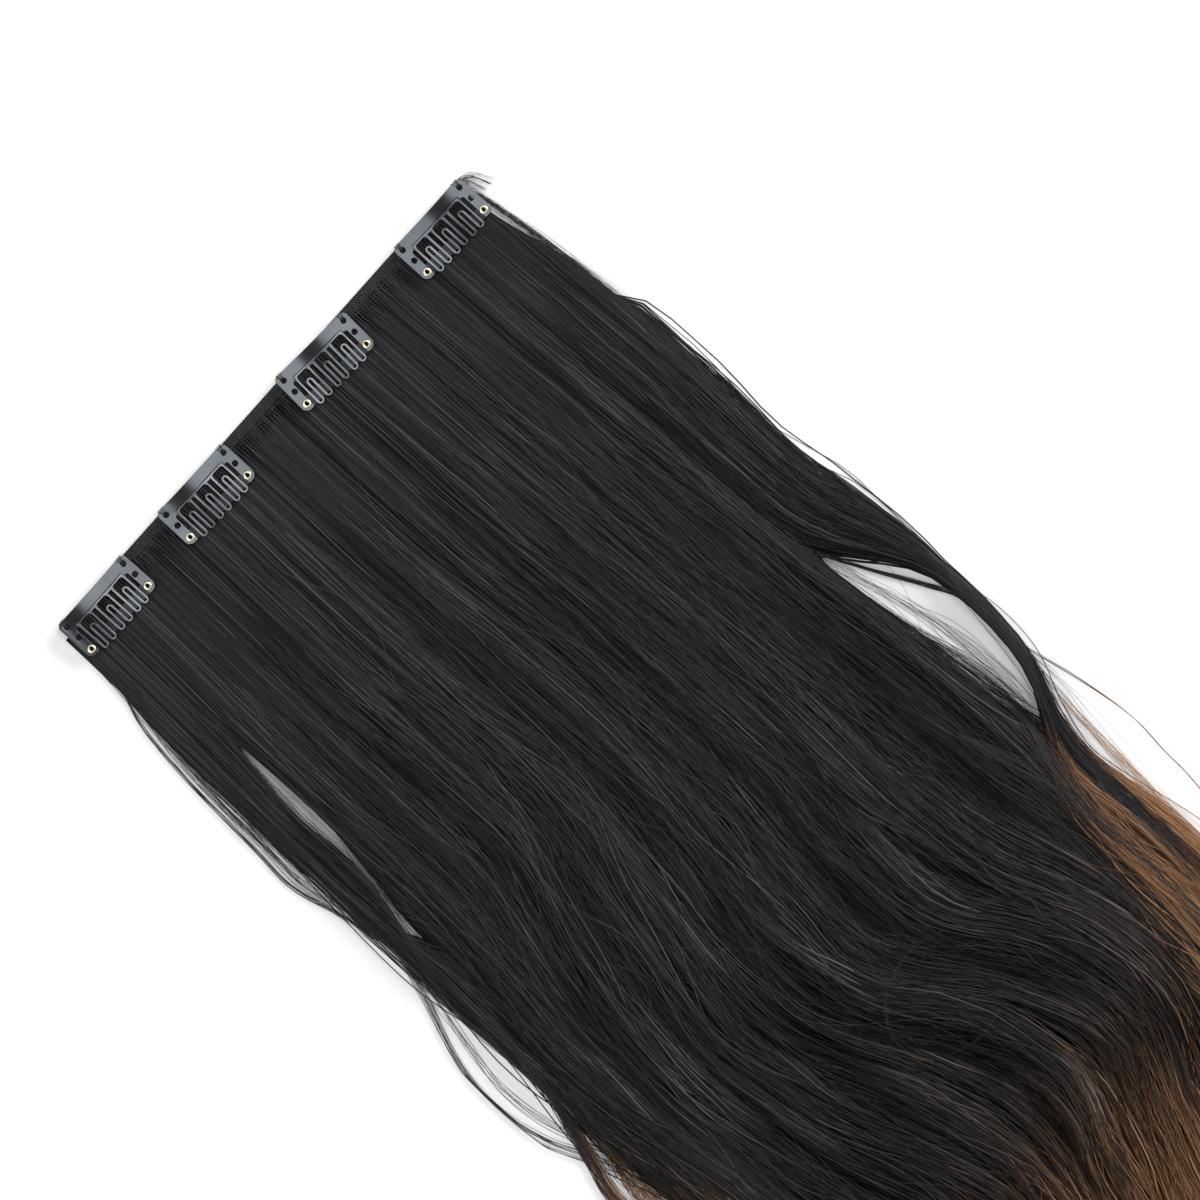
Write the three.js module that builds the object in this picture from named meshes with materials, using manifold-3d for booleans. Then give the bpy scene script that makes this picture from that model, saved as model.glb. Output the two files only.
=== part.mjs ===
// A clip-in hair extension lying flat: a stitched track, the hair that hangs from it and four snap clips.
// Millimetres. X runs along the track, the hair flows towards -Y, +Z is up and the floor is z = 0.
// The origin is the middle of the track's underside.
import * as THREE from "three";
import { mergeVertices } from "three/addons/utils/BufferGeometryUtils.js";
import Module from "manifold-3d";

const wasm = await Module();
wasm.setup();

// The gap that two neighbouring pieces keep.
const GAP = 0.12;

// The track: hair folded over and stitched into a band.
const TRACK = { length: 195, width: 4.6, height: 2.3 };

// The hair: one weft, parted into locks that all start at the track's lower edge. Distances along it
// are counted from the track's upper edge.
const HAIR = {
  length: 545,
  edgeInset: 6, // from the track's end to the outermost lock's middle line, at the root
  rootThick: 1.5, // where the clips lie over it
  rootDepth: 28, // how far the plain root strip that joins the locks reaches
  rootSpread: 2, // how far that strip spreads past the track at each end
  firstLock: 6.6, // where the locks rise from the root strip
  thinUntil: 20, // clear of the clips' tips
  fullFrom: 95,
  full: 7.5, // a lock's mean full thickness
  lockHalf: 12.5, // a lock's mean half width
  tipHalf: 3.4,
  tipThick: 1.8,
  taperFrom: 0.66, // share of a lock's length where it begins to narrow
  wavesFrom: 135, // combed straight up to here
  gatheredFrom: 152, // a lock that narrows in the waves begins to here
  gatheredBy: 206, // and has done so by here
  combedSteps: 4,
  wavySteps: 17,
  sway: 28, // the widest sway from straight
};

// The snap clip, seen from above with its long upper edge at y = 0.
const CLIP = {
  length: 32,
  width: 15.4,
  sheet: 0.5,
  bow: 1.4, // how far the ends curve up over the middle, to follow a head
  cornerUpper: 1.8,
  cornerLower: 2.2,
  margin: 3.85, // the plain strip above the comb
  lug: 3.63, // each end piece beside the comb
};
// The narrow slot that parts each lug from the comb, with a round upper end.
const SLOT = { half: 0.8, top: 5.2 };
const SEWING = { inset: 2.25, rows: [2.5, 7.6], radius: 1 };
const EYELET = { inset: 2.3, row: 13.1, flange: 1.4, barrel: 0.78, bore: 0.6, rim: 0.28 };
// Three bent teeth of one wire each, hanging from a root bar.
const COMB = {
  wire: 0.7,
  outer: 2.675, // from a tooth's middle to its outer legs
  inner: 1.03, // and to its inner legs
  innerTop: 8.8, // where the inner legs begin to bend round
  tip: 15.25, // where the tips begin to bend round
  bar: 0.95,
  slack: 0.35, // between the root bar and the plate
};
const BAND = { width: 4.3, sheet: 0.4 };

// The four clips: middle of the plate as a share of half the track, and its turn in degrees.
const CLIPS = [
  { along: -0.838, turn: 0.1 },
  { along: -0.342, turn: -1.0 },
  { along: 0.25, turn: -3.2 },
  { along: 0.834, turn: -0.4 },
];

const LOOKS = {
  hair: { color: "#2a2a2b", roughness: 0.45, metalness: 0 },
  track: { color: "#232324", roughness: 0.6, metalness: 0 },
  steel: { color: "#1b2024", roughness: 0.22, metalness: 1 },
  brass: { color: "#c9b27c", roughness: 0.35, metalness: 1 },
};

const lerp = THREE.MathUtils.lerp;
const smooth = (from, to, v) => THREE.MathUtils.smoothstep(v, from, to);

function solid(geometry) {
  const plain = new THREE.BufferGeometry();
  const flat = geometry.index ? geometry.toNonIndexed() : geometry;
  plain.setAttribute("position", flat.getAttribute("position"));
  const merged = mergeVertices(plain, 1e-4);
  return new wasm.Manifold(
    new wasm.Mesh({
      numProp: 3,
      vertProperties: merged.attributes.position.array,
      triVerts: new Uint32Array(merged.index.array),
    }),
  );
}

function piece(name, made, look) {
  const { numProp, numVert, vertProperties, triVerts } = made.getMesh();
  const points = new Float32Array(numVert * 3);
  for (let i = 0; i < numVert; i++)
    points.set(vertProperties.subarray(i * numProp, i * numProp + 3), i * 3);
  const shared = new THREE.BufferGeometry();
  shared.setAttribute("position", new THREE.BufferAttribute(points, 3));
  shared.setIndex(new THREE.BufferAttribute(new Uint32Array(triVerts), 1));
  const geometry = shared.toNonIndexed();
  geometry.computeVertexNormals();
  const mesh = new THREE.Mesh(geometry, new THREE.MeshStandardMaterial(LOOKS[look]));
  mesh.name = name;
  return mesh;
}

// A closed outline pushed from z = low to z = high.
function prism(points, low, high) {
  const shape = new THREE.Shape(points.map(([x, y]) => new THREE.Vector2(x, y)));
  const g = new THREE.ExtrudeGeometry(shape, { depth: high - low, bevelEnabled: false });
  return solid(g.translate(0, 0, low));
}

function arc(cx, cy, r, from, to, steps) {
  return Array.from({ length: steps + 1 }, (_, i) => {
    const a = THREE.MathUtils.degToRad(lerp(from, to, i / steps));
    return [cx + r * Math.cos(a), cy + r * Math.sin(a)];
  });
}

// The track: two rounded ridges with the seam between them, on a flat underside. The section is given
// from the upper edge to the lower one, as shares of the width and the height.
const TRACK_SECTION = [
  { across: 0, up: 0.12 },
  { across: 0.03, up: 0.7 },
  { across: 0.16, up: 0.97 },
  { across: 0.34, up: 1 },
  { across: 0.5, up: 0.78 },
  { across: 0.66, up: 0.93 },
  { across: 0.84, up: 0.9 },
  { across: 0.97, up: 0.62 },
  { across: 1, up: 0.12 },
  { across: 0.95, up: 0 },
  { across: 0.05, up: 0 },
];

function trackSolid() {
  const { length, width, height } = TRACK;
  const section = TRACK_SECTION.map(
    (s) => new THREE.Vector2((0.5 - s.across) * width, s.up * height),
  );
  const shape = new THREE.Shape(section);
  const g = new THREE.ExtrudeGeometry(shape, { depth: length, bevelEnabled: false });
  const alongX = new THREE.Matrix4().makeBasis(
    new THREE.Vector3(0, 1, 0),
    new THREE.Vector3(0, 0, 1),
    new THREE.Vector3(1, 0, 0),
  );
  return solid(g.applyMatrix4(alongX).translate(-length / 2, 0, 0));
}

// Where the sway is given: names of columns and the roots that they stand for, from -1 at the left
// edge to 1 at the right one.
const COLUMNS = { left: -1, midLeft: -0.5, middle: 0, midRight: 0.5, outer: 0.75, right: 1 };

// How the hair sways towards +X from straight, as shares of the widest sway, by distance from the
// track as a share of the length.
const SWAY = [
  { at: 0, left: 0, midLeft: 0, middle: 0, midRight: 0, outer: 0, right: 0 },
  { at: 0.15, left: -0.1, midLeft: -0.07, middle: 0, midRight: 0.04, outer: 0.04, right: 0.05 },
  { at: 0.28, left: -0.16, midLeft: -0.1, middle: 0.1, midRight: 0.06, outer: 0.12, right: 0.04 },
  { at: 0.36, left: -0.2, midLeft: -0.62, middle: 0.04, midRight: 0.02, outer: 0.22, right: 0.56 },
  { at: 0.44, left: -0.2, midLeft: -0.98, middle: -0.18, midRight: 0, outer: 0.3, right: 0.46 },
  { at: 0.5, left: -0.12, midLeft: -1, middle: -0.1, midRight: 0.1, outer: 0.32, right: -0.15 },
  { at: 0.56, left: 0, midLeft: -0.96, middle: 0.6, midRight: 0.46, outer: 0.2, right: -0.1 },
  { at: 0.62, left: 0.12, midLeft: -0.68, middle: 0.9, midRight: 0.5, outer: 0.1, right: -0.15 },
  { at: 0.68, left: 0.2, midLeft: -0.5, middle: 0.43, midRight: 0.05, outer: 0.02, right: -0.26 },
  { at: 0.76, left: 0.05, midLeft: -0.8, middle: -0.14, midRight: -0.5, outer: -0.35, right: -0.73 },
  { at: 0.84, left: -0.2, midLeft: -0.75, middle: 0.1, midRight: -0.3, outer: -0.4, right: -0.75 },
  { at: 0.92, left: 0.05, midLeft: -0.35, middle: 0.5, midRight: 0.05, outer: -0.1, right: -0.45 },
  { at: 1, left: 0.2, midLeft: -0.45, middle: 0.2, midRight: -0.2, outer: -0.3, right: -0.6 },
];
const COLUMN_ROOTS = Object.values(COLUMNS);
const SWAY_CURVES = Object.keys(COLUMNS).map(
  (name) => new THREE.SplineCurve(SWAY.map((row) => new THREE.Vector2(row.at, row[name]))),
);

// The sway in mm at a share of the length, for hair whose root sits at -1 (left) to 1 (right).
function sway(root, at) {
  const row = Math.min(Math.max(SWAY.findLastIndex((r) => r.at <= at), 0), SWAY.length - 2);
  const within = (at - SWAY[row].at) / (SWAY[row + 1].at - SWAY[row].at);
  const along = Math.min(Math.max((row + within) / (SWAY.length - 1), 0), 1);
  const column = Math.min(
    COLUMN_ROOTS.findLastIndex((r) => r <= root),
    COLUMN_ROOTS.length - 2,
  );
  const left = SWAY_CURVES[column].getPoint(along).y;
  const right = SWAY_CURVES[column + 1].getPoint(along).y;
  const blend = smooth(COLUMN_ROOTS[column], COLUMN_ROOTS[column + 1], root);
  return HAIR.sway * lerp(left, right, blend);
}

// The locks: where the root sits (-1 left edge, 1 right edge), its width as a share of the mean one, the
// share of that width that it keeps in the waves, and its thickness and length as shares of the mean.
const LOCKS = [
  { root: -1, wide: 0.65, keeps: 1, thick: 0.7, reach: 0.88 },
  { root: -0.84, wide: 0.95, keeps: 1, thick: 1, reach: 0.94 },
  { root: -0.67, wide: 1.05, keeps: 1, thick: 0.85, reach: 0.97 },
  { root: -0.5, wide: 1, keeps: 1, thick: 1.2, reach: 0.92 },
  { root: -0.34, wide: 1.05, keeps: 1, thick: 1, reach: 0.99 },
  { root: -0.22, wide: 1.3, keeps: 1, thick: 0.8, reach: 0.93 },
  { root: -0.08, wide: 1, keeps: 1, thick: 1.3, reach: 0.96 },
  { root: 0.07, wide: 1.1, keeps: 1, thick: 1.05, reach: 1 },
  { root: 0.25, wide: 1.05, keeps: 1, thick: 1.35, reach: 0.96 },
  { root: 0.43, wide: 1, keeps: 1, thick: 1.1, reach: 0.98 },
  { root: 0.58, wide: 1.05, keeps: 1, thick: 0.85, reach: 0.93 },
  { root: 0.72, wide: 1.15, keeps: 1, thick: 1, reach: 0.95 },
  { root: 0.98, wide: 1, keeps: 0.2, thick: 0.6, reach: 0.86 },
];

// A lock's section: flat below, domed above, as shares of its half width and thickness.
const DOME = [
  { across: -1, up: 0 },
  { across: 1, up: 0 },
  { across: 0.64, up: 0.78 },
  { across: 0, up: 1 },
  { across: -0.64, up: 0.78 },
];

// A lock's half width and thickness at a distance from the track's upper edge.
function lockSize(lock, distance) {
  const narrow = smooth(HAIR.taperFrom, 1, distance / (HAIR.length * lock.reach));
  const grown = smooth(HAIR.thinUntil, HAIR.fullFrom, distance);
  const gathered = lerp(1, lock.keeps, smooth(HAIR.gatheredFrom, HAIR.gatheredBy, distance));
  const thick = lerp(HAIR.rootThick, HAIR.full * lock.thick, grown);
  return {
    half: lerp(HAIR.lockHalf * lock.wide * gathered, HAIR.tipHalf, narrow),
    thick: lerp(thick, HAIR.tipThick, narrow),
  };
}

function lockSolid(lock) {
  const { firstLock, wavesFrom, combedSteps, wavySteps } = HAIR;
  const end = HAIR.length * lock.reach;
  const stops = [];
  for (let i = 0; i < combedSteps; i++)
    stops.push(lerp(firstLock, wavesFrom, (i / combedSteps) ** 1.4));
  for (let i = 0; i <= wavySteps; i++) stops.push(lerp(wavesFrom, end, i / wavySteps));
  const rootX = lock.root * (TRACK.length / 2 - HAIR.edgeInset);
  const middle = (d) => rootX + sway(lock.root, d / HAIR.length);
  const points = [];
  for (const d of stops) {
    const side = new THREE.Vector2(1, (middle(d + 1) - middle(d - 1)) / 2).normalize();
    const { half, thick } = lockSize(lock, d);
    for (const { across, up } of DOME)
      points.push(
        middle(d) + across * half * side.x,
        TRACK.width / 2 - d + across * half * side.y,
        up * thick,
      );
  }
  const n = DOME.length;
  const last = (stops.length - 1) * n;
  const faces = [];
  for (let s = 0; s < last; s += n)
    for (let k = 0; k < n; k++) {
      const next = (k + 1) % n;
      faces.push(s + k, s + next, s + k + n, s + next, s + next + n, s + k + n);
    }
  for (let k = 1; k + 1 < n; k++) faces.push(0, k + 1, k, last, last + k, last + k + 1);
  const g = new THREE.BufferGeometry();
  g.setAttribute("position", new THREE.Float32BufferAttribute(points, 3));
  g.setIndex(faces);
  return solid(g);
}

// All the locks, fused to the thin root strip that the clips lie over.
function hairSolid() {
  const half = TRACK.length / 2;
  const upper = -TRACK.width / 2 - GAP;
  const lower = TRACK.width / 2 - HAIR.rootDepth;
  const outline = [
    [-half, upper],
    [-half - HAIR.rootSpread, lower],
    [half + HAIR.rootSpread, lower],
    [half, upper],
  ];
  const strip = prism(outline, 0, HAIR.rootThick - GAP);
  return LOCKS.reduce((made, lock) => made.add(lockSolid(lock)), strip);
}

// Height of the bowed sheet over its middle.
const BOW_RADIUS = ((CLIP.length / 2) ** 2 + CLIP.bow ** 2) / (2 * CLIP.bow);
const riseAt = (x) => BOW_RADIUS - Math.sqrt(BOW_RADIUS ** 2 - x ** 2);

// A bowed sheet a little larger than the plate, from `low` to `high` over the plate's underside.
function bowedSheet(low, high) {
  const steps = 8;
  const reach = CLIP.length / 2 + 1;
  const xs = Array.from({ length: steps + 1 }, (_, i) => lerp(-reach, reach, i / steps));
  const outline = [
    ...xs.map((x) => new THREE.Vector2(x, riseAt(x) + low)),
    ...xs.toReversed().map((x) => new THREE.Vector2(x, riseAt(x) + high)),
  ];
  const depth = 1.5 * CLIP.width;
  const g = new THREE.ExtrudeGeometry(new THREE.Shape(outline), { depth, bevelEnabled: false });
  return solid(g.rotateX(Math.PI / 2).translate(0, CLIP.width / 4, 0));
}

// An outline cut right through the bowed sheet.
const CUT = CLIP.bow + CLIP.sheet + 2;
const through = (points) => prism(points, -CUT, CUT);
const hole = (x, y, r) => through(arc(x, y, r, 0, 330, 11));

const sewingX = CLIP.length / 2 - SEWING.inset;
const eyeletX = CLIP.length / 2 - EYELET.inset;
// The comb fills the width between the two narrow slots, and its teeth share it.
const combHalf = CLIP.length / 2 - CLIP.lug - 2 * SLOT.half;
const pitch = combHalf - COMB.outer - COMB.wire / 2;

function plateSolid() {
  const { length, width, cornerUpper: u, cornerLower: l, margin, lug } = CLIP;
  const h = length / 2;
  const below = -1.2 * width;
  const bay = combHalf + COMB.slack;
  const slotMiddle = h - lug - SLOT.half;
  let made = through([
    ...arc(h - u, -u, u, 0, 90, 4),
    ...arc(-h + u, -u, u, 90, 180, 4),
    ...arc(-h + l, -width + l, l, 180, 270, 4),
    ...arc(h - l, -width + l, l, 270, 360, 4),
  ]);
  made = made.subtract(
    through([
      [-bay, below],
      [bay, below],
      [bay, -margin],
      [-bay, -margin],
    ]),
  );
  for (const side of [-1, 1]) {
    const slot = [
      ...arc(side * slotMiddle, -SLOT.top - SLOT.half, SLOT.half, 0, 180, 6),
      [side * slotMiddle - SLOT.half, below],
      [side * slotMiddle + SLOT.half, below],
    ];
    made = made.subtract(through(slot));
    for (const row of SEWING.rows) made = made.subtract(hole(side * sewingX, -row, SEWING.radius));
    made = made.subtract(hole(side * eyeletX, -EYELET.row, EYELET.barrel + GAP));
  }
  return bowedSheet(0, CLIP.sheet).intersect(made);
}

// A bent tooth runs down, round a tip, up and over, down, round the other tip and up again.
function toothOutline(middle) {
  const { outer, inner, innerTop, tip, wire } = COMB;
  const rootY = -CLIP.margin - COMB.slack - COMB.bar / 2;
  const bend = (outer - inner) / 2;
  const tipX = (outer + inner) / 2;
  const edge = (w) => [
    [-outer - w, rootY],
    ...arc(-tipX, -tip, bend + w, 180, 360, 6),
    ...arc(0, -innerTop, inner - w, 180, 0, 6),
    ...arc(tipX, -tip, bend + w, 180, 360, 6),
    [outer + w, rootY],
  ];
  const outline = [...edge(wire / 2), ...edge(-wire / 2).toReversed()];
  return outline.map(([x, y]) => [x + middle, y]);
}

function combSolid() {
  const upper = -CLIP.margin - COMB.slack;
  const bar = [
    [-combHalf, upper - COMB.bar],
    [combHalf, upper - COMB.bar],
    [combHalf, upper],
    [-combHalf, upper],
  ];
  let flat = through(bar);
  for (const i of [-1, 0, 1]) flat = flat.add(through(toothOutline(i * pitch)));
  return bowedSheet(0, CLIP.sheet).intersect(flat);
}

// The pressure band behind the teeth, from eyelet to eyelet.
function bandSolid() {
  const r = BAND.width / 2;
  let flat = through([
    ...arc(eyeletX, -EYELET.row, r, -90, 90, 6),
    ...arc(-eyeletX, -EYELET.row, r, 90, 270, 6),
  ]);
  for (const side of [-1, 1])
    flat = flat.subtract(hole(side * eyeletX, -EYELET.row, EYELET.barrel + GAP));
  return bowedSheet(-GAP - BAND.sheet, -GAP).intersect(flat);
}

// A hollow rivet through the plate and the band, with a rolled rim at each end, on its own Z axis
// with the plate's underside at z = 0.
function eyeletSolid() {
  const { flange, barrel, bore, rim } = EYELET;
  const below = -GAP - BAND.sheet - GAP;
  const above = CLIP.sheet + GAP;
  const profile = [
    [bore, below - rim],
    [flange - rim / 3, below - rim],
    [flange, below],
    [barrel, below],
    [barrel, above],
    [flange, above],
    [flange - rim, above + rim],
    [bore, above + 0.8 * rim],
    [bore, below - rim],
  ];
  const points = profile.map(([x, y]) => new THREE.Vector2(x, y));
  return solid(new THREE.LatheGeometry(points, 10).rotateX(Math.PI / 2));
}

const part = new THREE.Group();
part.add(piece("track", trackSolid(), "track"));
part.add(piece("hair", hairSolid(), "hair"));

const plate = plateSolid();
const comb = combSolid();
const band = bandSolid();
const eyelet = eyeletSolid();
CLIPS.forEach(({ along, turn }, i) => {
  const clip = new THREE.Group();
  const name = "clip_" + (i + 1);
  clip.position.set((along * TRACK.length) / 2, TRACK.width / 2, TRACK.height + GAP);
  clip.rotation.z = THREE.MathUtils.degToRad(turn);
  clip.add(piece(name + "_plate", plate, "steel"));
  clip.add(piece(name + "_comb", comb, "steel"));
  clip.add(piece(name + "_band", band, "steel"));
  for (const [end, x] of [
    ["left", -eyeletX],
    ["right", eyeletX],
  ]) {
    const rivet = piece(name + "_eyelet_" + end, eyelet, "brass");
    rivet.position.set(x, -EYELET.row, riseAt(x));
    rivet.rotation.y = -Math.asin(x / BOW_RADIUS);
    clip.add(rivet);
  }
  part.add(clip);
});

export default part;
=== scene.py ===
# %% [markdown]
# # A clip-in hair extension, dressed for its picture
# A weft of straight black hair with loose waves further down lies flat on a pale table. A stitched
# track holds the hair along its upper edge, and four snap clips are sewn over the track. The CAD frame
# gives the size and place of everything; this lesson gives each piece the surface that it has in life.
# Lengths are in millimetres until the moment they go into a mesh, because that is how a maker thinks
# about hair and clips.

import math

import bmesh
import bpy
import numpy as np
from mathutils import Matrix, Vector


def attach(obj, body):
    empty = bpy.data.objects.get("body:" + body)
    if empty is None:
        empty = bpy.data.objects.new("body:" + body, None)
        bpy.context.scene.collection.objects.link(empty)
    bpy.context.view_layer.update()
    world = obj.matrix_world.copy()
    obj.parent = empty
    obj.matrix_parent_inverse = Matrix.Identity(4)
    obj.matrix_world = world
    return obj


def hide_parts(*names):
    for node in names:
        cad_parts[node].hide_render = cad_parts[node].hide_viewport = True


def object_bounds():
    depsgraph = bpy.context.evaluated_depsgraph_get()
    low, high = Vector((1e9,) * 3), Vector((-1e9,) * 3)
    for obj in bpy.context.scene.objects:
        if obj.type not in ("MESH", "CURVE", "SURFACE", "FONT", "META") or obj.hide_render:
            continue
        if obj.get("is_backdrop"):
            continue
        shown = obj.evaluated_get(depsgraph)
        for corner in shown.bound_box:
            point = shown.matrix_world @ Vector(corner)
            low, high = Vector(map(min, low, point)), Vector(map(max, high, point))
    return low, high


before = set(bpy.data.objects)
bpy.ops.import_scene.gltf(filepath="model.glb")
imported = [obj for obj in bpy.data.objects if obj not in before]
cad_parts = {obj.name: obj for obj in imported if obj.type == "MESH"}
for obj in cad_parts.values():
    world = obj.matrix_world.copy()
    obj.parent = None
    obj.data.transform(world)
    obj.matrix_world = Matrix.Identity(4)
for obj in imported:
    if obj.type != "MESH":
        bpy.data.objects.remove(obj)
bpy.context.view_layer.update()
MM = 0.001

# %% [markdown]
# ## One way to turn arrays into a mesh
# Every piece below is worked out as whole numpy arrays: points on a grid, or a section carried along a
# path. Writing them with foreach_set is far quicker than adding vertices one at a time, which matters
# with thousands of strands. Each mesh keeps a UV map named "lay", with U across the piece and V along
# it, so that a finish can follow the hair however it curves.


# %% Meshes from arrays
def mesh_piece(name, points, quads, uv=None, normals=None, tris=None, numbers=None):
    """A mesh object in metres from points in millimetres, four-sided faces and, at poles, triangles."""
    mesh = bpy.data.meshes.new(name)
    mesh.vertices.add(len(points))
    mesh.vertices.foreach_set("co", (np.asarray(points) * MM).astype(np.float32).ravel())
    corners = quads.ravel()
    starts = np.arange(len(quads)) * 4
    if tris is not None and len(tris):
        starts = np.concatenate([starts, len(corners) + np.arange(len(tris)) * 3])
        corners = np.concatenate([corners, tris.ravel()])
    mesh.loops.add(len(corners))
    mesh.loops.foreach_set("vertex_index", corners.astype(np.int32))
    mesh.polygons.add(len(starts))
    mesh.polygons.foreach_set("loop_start", starts.astype(np.int32))
    mesh.polygons.foreach_set("use_smooth", np.ones(len(starts), bool))
    if uv is not None:
        layer = mesh.uv_layers.new(name="lay")
        layer.data.foreach_set("uv", uv[corners].astype(np.float32).ravel())
    for key, values in (numbers or {}).items():
        mesh.attributes.new(key, "FLOAT", "POINT").data.foreach_set(
            "value", values.astype(np.float32).ravel()
        )
    mesh.update()
    mesh.validate()
    if normals is not None:
        mesh.normals_split_custom_set_from_vertices(normals.reshape(-1, 3).tolist())
    piece = bpy.data.objects.new(name, mesh)
    bpy.context.scene.collection.objects.link(piece)
    return piece


def grid_faces(rows, cols, copies=1, around=False):
    """Four-sided faces of `copies` grids of rows x cols points, closed along the columns if `around`."""
    r, c = np.meshgrid(np.arange(rows - 1), np.arange(cols if around else cols - 1), indexing="ij")
    nxt = (c + 1) % cols
    one = np.stack([r * cols + c, r * cols + nxt, (r + 1) * cols + nxt, (r + 1) * cols + c], -1)
    one = one.reshape(-1, 4)
    return (one[None] + (np.arange(copies) * rows * cols)[:, None, None]).reshape(-1, 4)


def soft_step(low, high, value):
    """0 below low, 1 above high, and the curve 3t^2 - 2t^3 between them."""
    t = np.clip((value - low) / (high - low), 0, 1)
    return t * t * (3 - 2 * t)


def mix(a, b, share):
    """a at share 0, b at share 1, and the straight line between them."""
    return a + (b - a) * share


# %% [markdown]
# ## The camera
# The picture is taken from straight above with the weft lying askew in the frame, so the camera looks
# down the Z axis and is turned about it. A focal length of 85 mm on a 36 mm sensor flattens the
# perspective as a product photographer would.

# %% Camera
LENS, SENSOR = 85, 36
FRAME_WIDTH = 387.1  # how much of the table the square picture shows
AIM = (25.7, -122.9, 5.0)
RIGHT = np.array([0.6655, -0.7464, 0.0])
UP = np.array([0.7464, 0.6655, 0.0])

camera_data = bpy.data.cameras.new("camera")
camera_data.lens, camera_data.sensor_width = LENS, SENSOR
camera = bpy.data.objects.new("camera", camera_data)
bpy.context.scene.collection.objects.link(camera)
bpy.context.scene.camera = camera
stand_off = FRAME_WIDTH * LENS / SENSOR
pose = np.eye(4)
pose[:3, 0], pose[:3, 1], pose[:3, 2] = RIGHT, UP, (0, 0, 1)
pose[:3, 3] = (np.array(AIM) + (0, 0, stand_off)) * MM
camera.matrix_world = Matrix(pose)
print("camera stands", round(stand_off), "mm above the hair")

# %% [markdown]
# ## How the hair flows
# The CAD model gives the flow of the hair as a short table of sways, and its locks as another. The same
# two tables are used here, so every strand lies where the solid lies. Between the rows the sway follows
# a Catmull-Rom curve, which passes through each value; between the columns it blends softly.

# %% The flow
TRACK = {"length": 195, "width": 4.6, "height": 2.3}
HAIR = {
    "length": 545,
    "edge_inset": 6,
    "root_thick": 1.5,
    "thin_until": 20,
    "full_from": 95,
    "full": 7.5,
    "lock_half": 12.5,
    "tip_half": 3.4,
    "tip_thick": 1.8,
    "taper_from": 0.66,
    "gathered_from": 152,
    "gathered_by": 206,
    "sway": 28,
}
SWAY_AT = np.array([0, 0.15, 0.28, 0.36, 0.44, 0.5, 0.56, 0.62, 0.68, 0.76, 0.84, 0.92, 1])
COLUMN_ROOTS = np.array([-1, -0.5, 0, 0.5, 0.75, 1])
SWAY = np.array(
    [  # left, middle left, middle, middle right, outer, right
        [0, 0, 0, 0, 0, 0],
        [-0.1, -0.07, 0, 0.04, 0.04, 0.05],
        [-0.16, -0.1, 0.1, 0.06, 0.12, 0.04],
        [-0.2, -0.62, 0.04, 0.02, 0.22, 0.56],
        [-0.2, -0.98, -0.18, 0, 0.3, 0.46],
        [-0.12, -1, -0.1, 0.1, 0.32, -0.15],
        [0, -0.96, 0.6, 0.46, 0.2, -0.1],
        [0.12, -0.68, 0.9, 0.5, 0.1, -0.15],
        [0.2, -0.5, 0.43, 0.05, 0.02, -0.26],
        [0.05, -0.8, -0.14, -0.5, -0.35, -0.73],
        [-0.2, -0.75, 0.1, -0.3, -0.4, -0.75],
        [0.05, -0.35, 0.5, 0.05, -0.1, -0.45],
        [0.2, -0.45, 0.2, -0.2, -0.3, -0.6],
    ]
)
LOCKS = np.array(
    [  # root, width, share of the width kept in the waves, thickness, reach
        [-1, 0.65, 1, 0.7, 0.88],
        [-0.84, 0.95, 1, 1, 0.94],
        [-0.67, 1.05, 1, 0.85, 0.97],
        [-0.5, 1, 1, 1.2, 0.92],
        [-0.34, 1.05, 1, 1, 0.99],
        [-0.22, 1.3, 1, 0.8, 0.93],
        [-0.08, 1, 1, 1.3, 0.96],
        [0.07, 1.1, 1, 1.05, 1],
        [0.25, 1.05, 1, 1.35, 0.96],
        [0.43, 1, 1, 1.1, 0.98],
        [0.58, 1.05, 1, 0.85, 0.93],
        [0.72, 1.15, 1, 1, 0.95],
        [0.98, 1, 0.2, 0.6, 0.86],
    ]
)


def sway(root, far):
    """Sideways shift in mm of hair rooted at -1..1, `far` mm down: Catmull-Rom along the table's rows."""
    at = np.clip(far / HAIR["length"], 0, 1)
    row = np.clip(np.searchsorted(SWAY_AT, at, side="right") - 1, 0, len(SWAY_AT) - 2)
    w = np.clip((at - SWAY_AT[row]) / (SWAY_AT[row + 1] - SWAY_AT[row]), 0, 1)[..., None]
    before, here = SWAY[np.maximum(row - 1, 0)], SWAY[row]
    after, later = SWAY[row + 1], SWAY[np.minimum(row + 2, len(SWAY_AT) - 1)]
    v0, v1 = (after - before) / 2, (later - here) / 2
    curve = (2 * here - 2 * after + v0 + v1) * w**3 + (3 * after - 3 * here - 2 * v0 - v1) * w**2
    curve = curve + v0 * w + here
    root = root + np.zeros_like(at)
    column = np.clip(np.searchsorted(COLUMN_ROOTS, root, side="right") - 1, 0, len(COLUMN_ROOTS) - 2)
    left = np.take_along_axis(curve, column[..., None], -1)[..., 0]
    right = np.take_along_axis(curve, column[..., None] + 1, -1)[..., 0]
    blend = soft_step(COLUMN_ROOTS[column], COLUMN_ROOTS[column + 1], root)
    return HAIR["sway"] * mix(left, right, blend)


ROOT_HALF = TRACK["length"] / 2 - HAIR["edge_inset"]


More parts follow.
